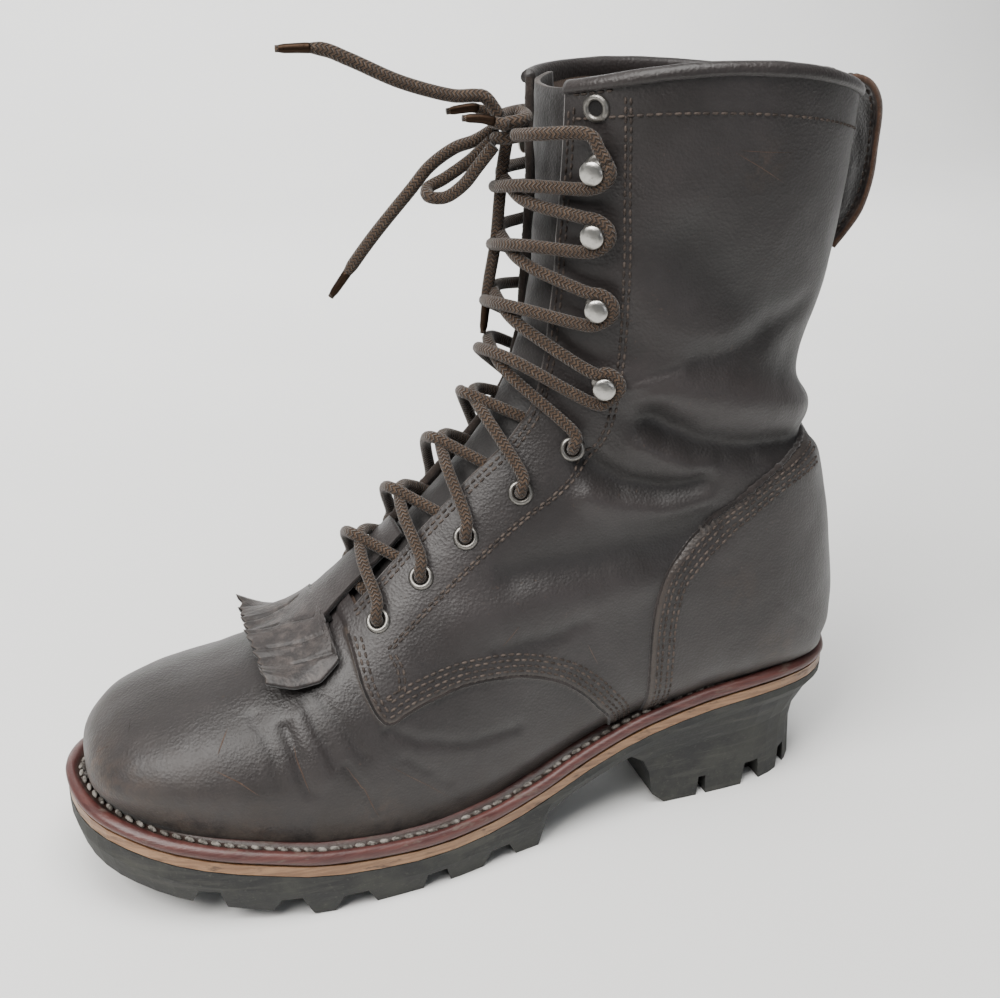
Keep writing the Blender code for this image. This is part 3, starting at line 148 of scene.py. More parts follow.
EYELET_ROWS = [
    (10.59, 0.498), (11.73, 0.472), (12.88, 0.470), (14.48, 0.484), (17.00, 0.490),
    (29.62, 0.592),
]
HOOK_ROWS = [
    (22.00, 0.550), (25.40, 0.566), (27.40, 0.570), (28.62, 0.590),
]
# Side outlines, as shares of the sole's length and the shaft's height
VAMP_OUTLINE = [
    (1.100, -0.100), (1.100, 0.500), (0.720, 0.500), (0.671, 0.340), (0.664, 0.285),
    (0.645, 0.248), (0.618, 0.257), (0.592, 0.267), (0.543, 0.280), (0.481, 0.278),
    (0.430, 0.258), (0.396, 0.230), (0.374, 0.203), (0.355, 0.177), (0.340, 0.130),
    (0.340, -0.100),
]
COUNTER_OUTLINE = [
    (-0.100, 0.100), (0.300, 0.100), (0.304, 0.188), (0.306, 0.265), (0.305, 0.326),
    (0.294, 0.383), (0.266, 0.422), (0.242, 0.447), (0.218, 0.473), (0.166, 0.514),
    (0.115, 0.534), (0.060, 0.540), (-0.100, 0.540),
]
LOOP_LINE = [
    (0.0848, 0.880), (0.0852, 0.940), (0.0842, 0.990), (0.0640, 1.006), (0.0400, 0.998),
    (0.0260, 0.972), (0.0222, 0.930), (0.0245, 0.882), (0.0340, 0.842), (0.0510, 0.812),
    (0.0655, 0.792),
]
LOOSE_LACES = {
    "lace_end_long": [
        (0.1037, 0.0047, 0.2734), (0.1085, 0.0050, 0.2793), (0.1125, 0.0050, 0.2802),
        (0.1211, 0.0050, 0.2805), (0.1381, 0.0060, 0.2853), (0.1542, 0.0060, 0.2923),
        (0.1635, 0.0050, 0.2956), (0.1773, 0.0040, 0.2957),
    ],
    "lace_end_short": [
        (0.1056, -0.0011, 0.2730), (0.1090, -0.0010, 0.2748), (0.1120, -0.0005, 0.2755),
        (0.1206, 0.0000, 0.2746),
    ],
    "lace_end_tipped": [
        (0.1029, 0.0097, 0.2710), (0.1080, 0.0100, 0.2726), (0.1120, 0.0100, 0.2735),
        (0.1182, 0.0100, 0.2738),
    ],
    "lace_end_lower": [
        (0.1013, -0.0062, 0.2677), (0.1070, -0.0110, 0.2630), (0.1136, -0.0145, 0.2600),
        (0.1214, -0.0180, 0.2535), (0.1282, -0.0200, 0.2448), (0.1420, -0.0240, 0.2270),
        (0.1559, -0.0280, 0.2065),
    ],
    "lace_loop": [
        (0.1041, -0.0006, 0.2648), (0.1075, -0.0050, 0.2600), (0.1110, -0.0080, 0.2560),
        (0.1180, -0.0110, 0.2505), (0.1240, -0.0110, 0.2475), (0.1250, -0.0060, 0.2455),
        (0.1195, -0.0040, 0.2455), (0.1140, -0.0015, 0.2500), (0.1105, 0.0018, 0.2560),
        (0.1055, 0.0045, 0.2635),
    ],
    "lace_end_hanging": [
        (0.0971, -0.0050, 0.2664), (0.0986, -0.0062, 0.2540), (0.0992, -0.0070, 0.2427),
        (0.1000, -0.0080, 0.2282), (0.1020, -0.0090, 0.2136), (0.1032, -0.0090, 0.2030),
        (0.1040, -0.0090, 0.1945),
    ],
}
KNOT_CENTRE = (0.0985, 0.0010, 0.2695)
KNOT_RADIUS = 0.0052
KNOT_PITCH = 0.0049
KNOT_TURNS = 1.6
KNOT_REACH = 0.0105

# Folds and creases of the outer side: depth in mm (minus is a trough), half width in mm, then
# points x, y and z in mm
CREASES = [
    (-3.2, 6, [(99, 34, 171), (86, 37, 163), (70, 37.5, 158), (53, 36, 156), (30, 26, 155), (14, 10, 155)]),
    (2.4, 8.0, [(110, 31, 184), (95, 36, 182), (76, 37, 178), (53, 33, 173), (34, 23, 167), (20, 8, 166)]),
    (-2.6, 5.0, [(122, 29, 156), (111, 32, 148), (99, 35, 144), (88, 36, 143), (79, 37, 146)]),
    (1.6, 5.0, [(122, 32, 142), (107, 34.5, 138), (92, 36, 136), (78, 37, 138)]),
    (1.3, 4.5, [(103, 34, 160), (92, 36, 155), (80, 37, 150)]),
    (-2.0, 9.0, [(149, 34, 116), (134, 35.5, 120), (115, 37, 122), (93, 37, 123), (76, 38, 129)]),
    (1.2, 9.0, [(168, 36, 101), (149, 37, 105), (126, 38, 106), (103, 39, 107)]),
    (-1.4, 6.0, [(85, 37, 193), (73, 37, 195), (59, 35, 200), (45, 28, 206)]),
    (-2.0, 14.0, [(93, 40, 234), (73, 39, 217), (44, 28, 192)]),
    (0.9, 9.0, [(110, 34, 222), (90, 38, 206), (70, 38, 202)]),
    (-0.6, 1.8, [(113, 31, 185), (103, 34, 188), (94, 36, 191)]),
    (-0.5, 1.6, [(114, 31, 180), (104, 34, 183), (96, 36, 185)]),
    (-0.9, 2.2, [(236, 38, 71), (234, 44, 64), (233.6, 48, 57), (231, 50, 50)]),
    (-0.8, 2.4, [(200, 45, 67), (188, 46, 61), (170, 45, 56), (150, 43, 56)]),
    (-0.7, 2.0, [(217, 48, 57), (211, 50, 47), (206, 50, 36)]),
    (-0.6, 2.0, [(228, 32, 76), (225, 41, 68), (221, 47, 58)]),
    (-0.6, 2.2, [(222, 34, 78), (215, 44, 68), (210, 48, 60)]),
    (0.6, 3.5, [(231, 36, 73), (228, 45, 64), (225, 49, 54)]),
    (-0.5, 1.8, [(196, 47, 56), (186, 48, 48), (178, 47, 41)]),
    (-0.5, 2.0, [(246, 30, 72), (243, 38, 65), (240, 46, 54)]),
    (-0.7, 3.0, [(158, 40, 90), (140, 40, 92), (124, 40, 95)]),
]

# Scratches of the outer side: width in mm, colour word, then points x, y and z in mm
SCRATCHES = [
    (0.9, "dark", [(287.7, 11.7, 68.0), (289.0, 17.8, 66.3)]),
    (0.8, "pale", [(234.7, 42.4, 65.9), (233.1, 47.3, 58.4), (230.8, 49.9, 49.9)]),
    (0.8, "pale", [(217.0, 48.5, 57.1), (211.1, 50.1, 47.1), (205.8, 50.1, 34.1)]),
    (0.9, "pale", [(255.6, 31.9, 70.4), (260.4, 38.9, 64.6)]),
    (0.7, "pale", [(262.1, 42.0, 60.8), (254.3, 45.9, 56.8), (248.1, 48.4, 51.7)]),
    (0.5, "pale", [(201.4, 48.4, 54.7), (186.4, 47.7, 42.3), (176.5, 46.8, 32.8)]),
    (0.5, "pale", [(82.4, 44.7, 266.0), (72.5, 44.2, 260.7), (62.9, 42.8, 255.1)]),
    (0.4, "pale", [(80.7, 44.9, 266.6), (61.6, 43.7, 265.0)]),
    (0.6, "pale", [(122.3, 39.9, 86.0), (117.8, 39.9, 76.7)]),
    (0.5, "pale", [(150.0, 38.0, 98.0), (156.0, 38.5, 91.0)]),
    (0.6, "pale", [(300.6, 13.7, 57.5), (296.3, 16.6, 61.5)]),
    (0.5, "dark", [(267.7, 2.1, 74.7), (267.5, 8.8, 74.4)]),
]
# Scuffed places: x, y, z and reach in mm, then how strong
SCUFF_SPOTS = [
    (302, 14, 52, 9, 0.9), (296, 24, 48, 10, 0.7), (286, 30, 50, 9, 0.5),
    (272, 38, 40, 10, 0.4), (250, 48, 34, 9, 0.4), (205, 50, 38, 8, 0.3),
    (72, 44, 262, 7, 0.35), (60, 40, 100, 9, 0.25), (40, 34, 70, 9, 0.3),
]


def hermite(low, high, start, end, t):
    return (
        low * (2 * t**3 - 3 * t**2 + 1)
        + start * (t**3 - 2 * t**2 + t)
        + high * (3 * t**2 - 2 * t**3)
        + end * (t**3 - t**2)
    )


def along(rows, share, column):
    """One column of a table at shares of the length, on a monotone cubic with round ends."""
    rows = np.asarray(rows, float)
    x = np.arccos(1 - 2 * rows[:, 0])
    y = rows[:, column]
    h = np.diff(x)
    slope = np.diff(y) / h
    tangent = np.zeros(len(x))
    tangent[0], tangent[-1] = slope[0], slope[-1]
    for i in range(1, len(x) - 1):
        if slope[i - 1] * slope[i] > 0:
            before, after = 2 * h[i] + h[i - 1], h[i] + 2 * h[i - 1]
            tangent[i] = (before + after) / (before / slope[i - 1] + after / slope[i])
    place_at = np.arccos(1 - 2 * np.clip(share, 0, 1))
    i = np.clip(np.searchsorted(x, place_at) - 1, 0, len(x) - 2)
    return hermite(y[i], y[i + 1], h[i] * tangent[i], h[i] * tangent[i + 1], (place_at - x[i]) / h[i])


def smooth_row(rows, position):
    """All columns of a table at a fractional row."""
    table = np.asarray(rows, float)
    last = len(table) - 1
    position = min(max(position, 0.0), float(last))
    i = min(int(position), last - 1)
    t = position - i
    before, low, high, after = table[max(i - 1, 0)], table[i], table[i + 1], table[min(i + 2, last)]
    start = (high - before) / (2 if i > 0 else 1)
    end = (after - low) / (2 if i < last - 1 else 1)
    return hermite(low, high, start, end, t)


def lookup(rows, position, column=1):
    table = np.asarray(rows, float)
    return float(np.interp(position, table[:, 0], table[:, column]))


def under_midsole(x):
    return HEEL_LIFT * along(LIFT_ROWS, np.asarray(x) / SOLE_LENGTH, 1)


def welt_top(x):
    return under_midsole(x) + MIDSOLE_THICKNESS + WELT_THICKNESS


def feather(x):
    share = (x - FEATHER_REAR) / (SOLE_LENGTH - FEATHER_REAR - FEATHER_TOE)
    wide = BALL_HALF_WIDTH * FEATHER_SCALE
    return wide * along(OUTLINE_ROWS, share, 1), wide * along(OUTLINE_ROWS, share, 2)


def section(u, steps=120):
    """Outer and inner halves of a section, from its front point to the feather or back line."""
    row = smooth_row(LAST_ROWS, u)
    front = np.array([row[0] * LAST_LENGTH, 0, row[1] * SHAFT_HEIGHT])
    back_x = row[2] * LAST_LENGTH
    seated = u < REAR_ROW
    back = np.array([back_x, 0, welt_top(back_x) if seated else row[3] * SHAFT_HEIGHT])
    feet = feather(back_x) if seated else (0.0, 0.0)
    if u == 0:
        front, feet = back, (0.0, 0.0)
    widest, n, m = row[6:]
    angles = np.linspace(0, np.pi / 2, steps // 2 + 1)
    halves = []
    for side, share, foot in ((1, row[4], feet[0]), (-1, row[5], feet[1])):
        wide = max(share * LAST_HALF_WIDTH, foot * FOOT_EASE)
        top_c = widest * (1 - np.cos(angles) ** (2 / n))
        top_y = wide * np.sin(angles) ** (2 / n)
        low_c = widest + (1 - widest) * np.sin(angles[1:]) ** (2 / m)
        low_y = foot + (wide - foot) * np.clip(np.cos(angles[1:]), 0, 1) ** (2 / m)
        line = front + np.concatenate([top_c, low_c])[:, None] * (back - front)
        line[:, 1] = np.concatenate([top_y, low_y]) * side
        if u > RISE_ROW:
            rise = COLLAR_RISE * (1.0 if side > 0 else INNER_RISE_SHARE)
            lift = rise * ((u - RISE_ROW) / (TOP_ROW - RISE_ROW)) ** 2
            line[:, 2] += lift * (np.abs(line[:, 1]) / wide) ** 2
        halves.append(line)
    return halves


def run_of(line):
    return np.concatenate([[0], np.cumsum(np.linalg.norm(np.diff(line, axis=0), axis=1))])


def at_runs(line, runs):
    run = run_of(line)
    return np.stack([np.interp(runs, run, line[:, k]) for k in range(3)], axis=1)


def run_at_width(line, half_width):
    half = np.abs(line[:, 1])
    top = int(np.argmax(half))
    return float(np.interp(min(half_width, 0.5 * half[top]), half[: top + 1], run_of(line)[: top + 1]))


def throat_edge(line, u):
    """How far along a half section the throat's edge lies."""
    return run_at_width(line, lookup(THROAT_ROWS, u) * LAST_HALF_WIDTH)


def unit(vectors, least=1e-12):
    return vectors / np.maximum(np.linalg.norm(vectors, axis=-1, keepdims=True), least)


def headings(path):
    return unit(np.gradient(path, axis=0))


def smooth_line(points, step):
    """The points' smooth curve, sampled about every step."""
    rough = np.array([smooth_row(points, t) for t in np.linspace(0, len(points) - 1, 12 * len(points))])
    run = run_of(rough)
    return at_runs(rough, np.linspace(0, run[-1], max(3, int(run[-1] / step) + 1)))


def plan_row(x, inset):
    """Outer and inner points of the sole's outline, moved in from its edge."""
    share = x / SOLE_LENGTH
    place_x = inset + x * (SOLE_LENGTH - inset - inset) / SOLE_LENGTH
    points = []
    for column, side in ((1, 1), (2, -1)):
        wide = BALL_HALF_WIDTH * along(OUTLINE_ROWS, share, column)
        moved = wide - inset * np.minimum(1.0, wide / (1.2 * max(inset, 0.01)))
        points.append(np.stack([place_x, side * moved], axis=1))
    return points


def place(u, half_width, side):
    """Point, outward normal and direction toward the collar on the last's surface."""

    def at(row, wide):
        line = section(row)[0 if side > 0 else 1]
        half = np.abs(line[:, 1])
        top = int(np.argmax(half))
        return np.array([np.interp(wide, half[: top + 1], line[: top + 1, k]) for k in range(3)])

    here = at(u, half_width)
    up = at(u + ROW_NUDGE, half_width) - at(u - ROW_NUDGE, half_width)
    out = at(u, half_width + WIDTH_NUDGE) - at(u, half_width - WIDTH_NUDGE)
    normal = unit(np.cross(out, up) * side)
    if normal @ (1, 0, 0.3) < 0:
        normal = -normal
    return here, normal, unit(up)


def normals_of(grid):
    normal = unit(np.cross(np.gradient(grid, axis=1), np.gradient(grid, axis=0)))
    outward = normal[len(grid) // 2, grid.shape[1] // 2] @ (1, 0, 1)
    return normal * (1.0 if outward > 0 else -1.0)


def grid_faces(rows, count, keep=None):
    i, j = np.meshgrid(np.arange(rows - 1), np.arange(count - 1), indexing="ij")
    a = i * count + j
    faces = np.stack([a, a + 1, a + count + 1, a + count], axis=-1)
    return faces.reshape(-1, 4) if keep is None else faces[keep]


def ring_faces(rings, sides, base=0):
    """Faces between closed rings of points that follow each other."""
    i, k = np.meshgrid(np.arange(rings - 1), np.arange(sides), indexing="ij")
    a = base + i * sides + k
    b = base + i * sides + (k + 1) % sides
    return np.stack([a, b, b + sides, a + sides], axis=-1).reshape(-1, 4).tolist()


def add_piece(name, mesh, surface, nodes):
    mesh.shade_smooth()
    mesh.materials.append(surface)
    item = bpy.data.objects.new(name, mesh)
    bpy.context.scene.collection.objects.link(item)
    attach(item, "root")
    if nodes:
        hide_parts(*nodes)
    return item


def mesh_piece(name, points, faces, surface, nodes=(), masks=None, outward=None):
    """A smooth shaded piece in the row's frame. Masks are one value a point."""
    mesh = bpy.data.meshes.new(name)
    moved = np.asarray(points, float) - ORIGIN
    faces = [tuple(face) for face in (faces.tolist() if hasattr(faces, "tolist") else faces)]
    mesh.from_pydata(moved.tolist(), [], faces)
    for key, values in (masks or {}).items():
        layer = mesh.attributes.new(key, "FLOAT", "POINT")
        layer.data.foreach_set("value", np.asarray(values, np.float32).ravel())
    form = bmesh.new()
    form.from_mesh(mesh)
    loose = [v for v in form.verts if not v.link_faces]
    bmesh.ops.delete(form, geom=loose, context="VERTS")
    bmesh.ops.remove_doubles(form, verts=form.verts, dist=2e-6)
    if outward is None:
        bmesh.ops.recalc_face_normals(form, faces=form.faces)
    form.to_mesh(mesh)
    form.free()
    if outward is not None:
        total = sum(p.normal.dot(Vector(outward(p.center))) for p in list(mesh.polygons)[::37])
        if total < 0:
            mesh.flip_normals()
    return add_piece(name, mesh, surface, nodes)


def frames_along(path):
    """Two directions square to a path at each point, which turn as little as they can."""
    tangent = headings(path)
    side = np.cross(tangent[0], (0, 0, 1))
    if np.linalg.norm(side) < 1e-3:
        side = np.cross(tangent[0], (0, 1, 0))
    sides = []
    for t in tangent:
        side = unit(side - t * (side @ t))
        sides.append(side)
    sides = np.array(sides)
    return sides, np.cross(sides, tangent)


def tube_arrays(path, radius, sides):
    """Points, faces and corner UVs of a round cord with closed ends."""
    radii = np.broadcast_to(np.asarray(radius, float), len(path))
    a, b = frames_along(path)
    angle = np.linspace(0, 2 * np.pi, sides, endpoint=False)
    ring = a[:, None] * np.cos(angle)[None, :, None] + b[:, None] * np.sin(angle)[None, :, None]
    points = (path[:, None] + ring * radii[:, None, None]).reshape(-1, 3)
    run = run_of(path)
    uvs = []
    for start, end in zip(run[:-1], run[1:]):
        for j in range(sides):
            low, high = j / sides, (j + 1) / sides
            uvs += [(low, start), (high, start), (high, end), (low, end)]
    last = (len(path) - 1) * sides
    faces = ring_faces(len(path), sides)
    faces += [tuple(range(sides - 1, -1, -1)), tuple(last + j for j in range(sides))]
    uvs += [(0.0, 0.0)] * (2 * sides)
    return points, faces, uvs


def cord_piece(name, paths, radius, surface, nodes=(), sides=12):
    """One or more cords joined in a mesh, with UVs round and along each."""
    points, faces, uvs = [], [], []
    for path in paths:
        more, more_faces, more_uvs = tube_arrays(path, radius, sides)
        base = sum(len(p) for p in points)
        points.append(more)
        faces += [tuple(base + k for k in face) for face in more_faces]
        uvs += more_uvs
    mesh = bpy.data.meshes.new(name)
    mesh.from_pydata((np.concatenate(points) - ORIGIN).tolist(), [], faces)
    layer = mesh.uv_layers.new(name="cord")
    layer.data.foreach_set("uv", np.array(uvs, np.float32).ravel())
    return add_piece(name, mesh, surface, nodes)


# Shader building


class Surface:
    """A procedural material, with short names for the nodes used here."""

    def __init__(self, name):
        self.material = bpy.data.materials.new(name)
        self.material.use_nodes = True
        self.tree = self.material.node_tree
        self.place = self.node("TexCoord").outputs["Object"]
        self.relief = None

    def fill(self, node, inputs):
        for key, value in inputs.items():
            if isinstance(value, bpy.types.NodeSocket):
                self.tree.links.new(value, node.inputs[key])
            elif isinstance(value, tuple) and node.inputs[key].type == "RGBA":
                node.inputs[key].default_value = (*value, 1.0)
            else:
                node.inputs[key].default_value = value
        return node

    def node(self, kind, inputs=None):
        return self.fill(self.tree.nodes.new("ShaderNode" + kind), inputs or {})

    def noise(self, scale, detail=3.0, roughness=0.55, vector=None):
        place_at = self.place if vector is None else vector
        inputs = {"Vector": place_at, "Scale": scale, "Detail": detail, "Roughness": roughness}
        return self.node("TexNoise", inputs).outputs["Fac"]

    def cells(self, scale):
        return self.node("TexVoronoi", {"Vector": self.place, "Scale": scale}).outputs["Distance"]

    def stretched(self, scale):
        return self.node("Mapping", {"Vector": self.place, "Scale": scale}).outputs["Vector"]

    def mask(self, name):
        made = self.node("Attribute")
        made.attribute_name = name
        return made.outputs["Fac"]

    def math(self, operation, a, b=0.0, clamp=False):
        made = self.node("Math", {0: a, 1: b})
        made.operation = operation
        made.use_clamp = clamp
        return made.outputs[0]

    def times(self, a, b, clamp=False):
        return self.math("MULTIPLY", a, b, clamp)

    def plus(self, a, b, clamp=False):
        return self.math("ADD", a, b, clamp)

    def band(self, value, low, high):
        """The value stretched from low..high to 0..1."""
        made = self.node("MapRange", {"Value": value, "From Min": low, "From Max": high})
        made.interpolation_type = "SMOOTHSTEP"
        return made.outputs["Result"]

    def mix(self, share, a, b):
        made = self.node("Mix")
        made.data_type = "RGBA"
        return self.fill(made, {0: share, 6: a, 7: b}).outputs[2]

    def bump(self, height, distance, strength=1.0):
        made = self.node("Bump", {"Height": height, "Distance": distance, "Strength": strength})
        if self.relief is not None:
            self.tree.links.new(self.relief, made.inputs["Normal"])
        self.relief = made.outputs["Normal"]

    def finish(self, colour, roughness, metallic=0.0, coat=0.0, sheen=0.0, specular=0.5):
        inputs = {
            "Base Color": colour,
            "Roughness": roughness,
            "Metallic": metallic,
            "Coat Weight": coat,
            "Coat Roughness": 0.35,
            "Sheen Weight": sheen,
            "Specular IOR Level": specular,
        }
        if self.relief is not None:
            inputs["Normal"] = self.relief
        self.fill(self.tree.nodes["Principled BSDF"], inputs)
        return self.material


def shade(colour, share):
    return tuple(min(1.0, part * share) for part in colour)


WORN_EDGE = (0.080, 0.058, 0.043)
LEATHER_DUST = (0.080, 0.060, 0.045)
RUBBER_DUST = (0.085, 0.080, 0.066)
RUBBER_STREAK = (0.070, 0.067, 0.058)
BRAID_PITCH = 0.0015


def leather_surface(name, base, pale, worn, roughness=0.46):
    """Oiled leather: mottled, with worn, dusty and cut-edge masks, painted shade in the folds and painted
    highlight on their crests.
    """
    s = Surface(name)
    fine = s.band(s.noise(160, 4), 0.35, 0.75)
    colour = s.mix(s.band(s.noise(28, 4), 0.35, 0.7), base, pale)
    colour = s.mix(s.times(fine, 0.35), colour, shade(base, 0.6))
    # Painted shade in the troughs of the folds
    colour = s.mix(s.times(s.mask("fold_shade"), 0.65, True), colour, shade(base, 0.45))
    # Painted highlight on the crests of the folds
    colour = s.mix(s.times(s.mask("crest_highlight"), 0.45, True), colour, shade(pale, 1.35))
    rub = s.times(s.mask("scuff"), s.band(s.noise(220, 5, 0.7), 0.42, 0.62), True)
    colour = s.mix(rub, colour, worn)
    specks = s.times(s.band(s.noise(520, 2, 0.8), 0.66, 0.74), s.band(s.noise(40, 3), 0.45, 0.6))
    colour = s.mix(s.times(specks, 0.4), colour, worn)
    dust = s.times(s.mask("dust"), s.band(s.noise(90, 5, 0.65), 0.3, 0.65), True)
    colour = s.mix(s.times(dust, 0.55), colour, LEATHER_DUST)
    colour = s.mix(s.mask("edge"), colour, WORN_EDGE)
    rough = s.plus(s.times(s.noise(45, 5, 0.65), 0.36), roughness - 0.13)
    rough = s.plus(rough, s.times(dust, 0.25), True)
    s.bump(s.noise(38, 4, 0.5), 0.0010, 0.40)
    s.bump(s.noise(210, 4, 0.6), 0.00022, 0.40)
    s.bump(s.cells(900), 0.00022, 0.6)
    s.bump(s.noise(1500, 3, 0.6), 0.00014, 0.7)
    return s.finish(colour, rough, coat=0.05, sheen=0.08)


def suede_surface(name, base, pale):
    s = Surface(name)
    nap = s.noise(700, 4, 0.75)
    colour = s.mix(s.band(s.noise(60, 4, 0.6), 0.35, 0.65), base, pale)
    colour = s.mix(s.times(s.band(nap, 0.5, 0.7), 0.45), colour, shade(pale, 1.7))
    # Painted shade in folds and slits
    colour = s.mix(s.times(s.mask("fold_shade"), 0.8, True), colour, shade(base, 0.3))
    s.bump(nap, 0.0004, 0.9)
    return s.finish(colour, 0.9, sheen=0.25, specular=0.2)


def braid_surface(name, base, glint):
    """Round braided cord: crossing strands from the UVs, with painted shade in the grooves between them and
    tan painted glints on their tops.
    """
    s = Surface(name)
    uv = s.node("UVMap")
    uv.uv_map = "cord"
    split = s.node("SeparateXYZ", {"Vector": uv.outputs["UV"]}).outputs
    across = s.math("FRACT", s.times(split["X"], 6.0))
    chevron = s.times(s.math("ABSOLUTE", s.math("SUBTRACT", across, 0.5)), 2 * math.pi * 1.3)
    climb = s.times(split["Y"], 2 * math.pi / BRAID_PITCH)
    weave = s.math("SINE", s.plus(chevron, climb))
    lifted = s.band(weave, -0.7, 0.5)
    # Tan painted glints on the raised tops of the strands
    glint_at = s.times(s.band(s.noise(420, 2, 0.6), 0.54, 0.6), s.band(weave, 0.0, 0.5))
    # Painted shade in the grooves between strands
    colour = s.mix(glint_at, s.mix(lifted, shade(base, 0.35), base), glint)
    s.bump(lifted, 0.0006, 0.9)
    s.bump(s.noise(2400, 2, 0.6), 0.0002, 0.7)
    return s.finish(colour, 0.85, sheen=0.2, specular=0.25)


def thread_surface(name, base, pale):
    s = Surface(name)
    colour = s.mix(s.band(s.noise(350, 3, 0.7), 0.4, 0.62), base, pale)
    s.bump(s.noise(2500, 2, 0.6), 0.0002, 0.8)
    return s.finish(colour, 0.7, specular=0.35)


def rubber_surface():
    s = Surface("sole_rubber_surface")
    cloud = s.band(s.noise(55, 5, 0.65), 0.38, 0.68)
    colour = s.mix(cloud, (0.0125, 0.0130, 0.0130), (0.038, 0.0385, 0.0345))
    grit = s.band(s.noise(600, 4, 0.75), 0.55, 0.72)
    colour = s.mix(s.times(grit, 0.35), colour, RUBBER_DUST)
    streak = s.band(s.noise(30, 4, 0.7, s.stretched((1, 1, 9))), 0.5, 0.66)
    colour = s.mix(s.times(streak, 0.3), colour, RUBBER_STREAK)
    s.bump(s.noise(420, 4, 0.7), 0.0005, 0.5)
    s.bump(s.noise(70, 3, 0.6), 0.0010, 0.3)
    return s.finish(colour, s.plus(s.times(cloud, 0.2), 0.62), specular=0.35)


def layer_surface(name, base, pale, stain):
    s = Surface(name)
    grain = s.noise(60, 4, 0.65, s.stretched((1, 1, 12)))
    colour = s.mix(s.band(grain, 0.35, 0.7), base, pale)
    marks = s.band(s.noise(120, 5, 0.7, s.stretched((1, 1, 4))), 0.55, 0.68)
    colour = s.mix(s.times(marks, 0.75), colour, stain)
    # Painted shade where the mask is set: the welt's channel
    colour = s.mix(s.times(s.mask("fold_shade"), 0.85, True), colour, shade(stain, 0.25))
    s.bump(grain, 0.0005, 0.5)
    s.bump(s.noise(900, 3, 0.7), 0.0002, 0.5)
    return s.finish(colour, s.plus(s.times(marks, 0.25), 0.42), coat=0.05)


def metal_surface(name, base, roughness):
    s = Surface(name)
    wear = s.band(s.noise(900, 4, 0.7), 0.5, 0.75)
    colour = s.mix(s.times(wear, 0.5), base, shade(base, 0.3))
    s.bump(s.noise(500, 3, 0.6), 0.0002, 0.3)
    return s.finish(colour, s.plus(s.times(wear, 0.3), roughness), metallic=1.0)


LEATHER = leather_surface(
    "oiled_leather",
    (0.0082, 0.0055, 0.0050),
    (0.0180, 0.0138, 0.0136),
    (0.058, 0.034, 0.022),
)
COUNTER_LEATHER = leather_surface(
    "counter_leather",
    (0.0084, 0.0054, 0.0048),
    (0.0176, 0.0132, 0.0126),
    (0.056, 0.034, 0.023),
)
TONGUE_LEATHER = leather_surface(
    "tongue_leather",
    (0.0060, 0.0044, 0.0042),
    (0.0130, 0.0100, 0.0096),
    (0.04, 0.028, 0.023),
    roughness=0.60,
)
KILTIE_LEATHER = leather_surface(
    "kiltie_leather",
    (0.0100, 0.0070, 0.0064),
    (0.0250, 0.0195, 0.0188),
    (0.085, 0.068, 0.061),
    roughness=0.50,
)
BINDING_LEATHER = leather_surface(
    "binding_leather",
    (0.0080, 0.0052, 0.0047),
    (0.0160, 0.0112, 0.0104),
    (0.042, 0.025, 0.017),
    roughness=0.44,
)
LINING_LEATHER = suede_surface("lining_leather", (0.050, 0.032, 0.024), (0.085, 0.058, 0.043))
CUT_EDGE = suede_surface("cut_edge", (0.017, 0.012, 0.010), (0.040, 0.030, 0.025))
DARK_EDGE = suede_surface("dark_edge", (0.007, 0.0055, 0.0052), (0.020, 0.015, 0.014))
BROWN_EDGE = suede_surface("brown_edge", (0.034, 0.017, 0.010), (0.074, 0.038, 0.023))
SCRATCH = suede_surface("scratch", (0.044, 0.026, 0.018), (0.085, 0.054, 0.039))
# Near black surface for the discs in the eyelets: painted shadow inside the holes
HOLE_SHADOW = suede_surface("eyelet_hole_shadow", (0.0025, 0.0020, 0.0020), (0.0040, 0.0034, 0.0032))
THREAD = thread_surface("brown_thread", (0.021, 0.0150, 0.0120), (0.066, 0.050, 0.041))
WELT_THREAD = thread_surface("welt_thread", (0.060, 0.053, 0.046), (0.230, 0.212, 0.190))
# Braid colour, then the colour of its painted glints
BRAID = braid_surface("lace_braid", (0.047, 0.0275, 0.0155), (0.072, 0.044, 0.026))
TIP = metal_surface("lace_tip", (0.035, 0.022, 0.015), 0.45)
NICKEL = metal_surface("nickel", (0.40, 0.39, 0.365), 0.30)
DULL_NICKEL = metal_surface("dull_nickel", (0.22, 0.21, 0.195), 0.38)
RUBBER = rubber_surface()
TAN_LAYER = layer_surface(
    "midsole_layer",
    (0.150, 0.074, 0.034),
    (0.260, 0.145, 0.072),
    (0.050, 0.030, 0.020),
)
RED_LAYER = layer_surface(
    "welt_layer",
    (0.046, 0.0130, 0.0115),
    (0.086, 0.0290, 0.0240),
    (0.095, 0.070, 0.055),
)
BOARD = suede_surface("insole_board", (0.130, 0.080, 0.050), (0.200, 0.130, 0.085))


# Upper


def row_stations(count):
    """Rows along the upper, close enough together everywhere on the surface."""
    fine = np.linspace(0, TOP_ROW, 601)
    spots = np.array([np.concatenate(section(u, 16)) for u in fine])
    steps = np.linalg.norm(np.diff(spots, axis=0), axis=2).max(axis=1) + 2e-5
    run = np.concatenate([[0], np.cumsum(steps)])
    rows = np.interp(np.linspace(0, run[-1], count), run, fine)
    rows[int(np.argmin(np.abs(rows - THROAT_ROW)))] = THROAT_ROW
    return rows


def last_grid(positions, inside, outside):
    shares = np.linspace(0, 1, outside + 1)[1:]
    rows = []
    for u in positions:
        halves = []
        for line in section(u):
            edge = throat_edge(line, u)
            end = run_of(line)[-1]
            runs = np.concatenate([np.linspace(0, edge, inside + 1), edge + (end - edge) * shares])
            halves.append(at_runs(line, runs))
        rows.append(np.concatenate([halves[0][::-1], halves[1][1:]]))
    return np.array(rows)


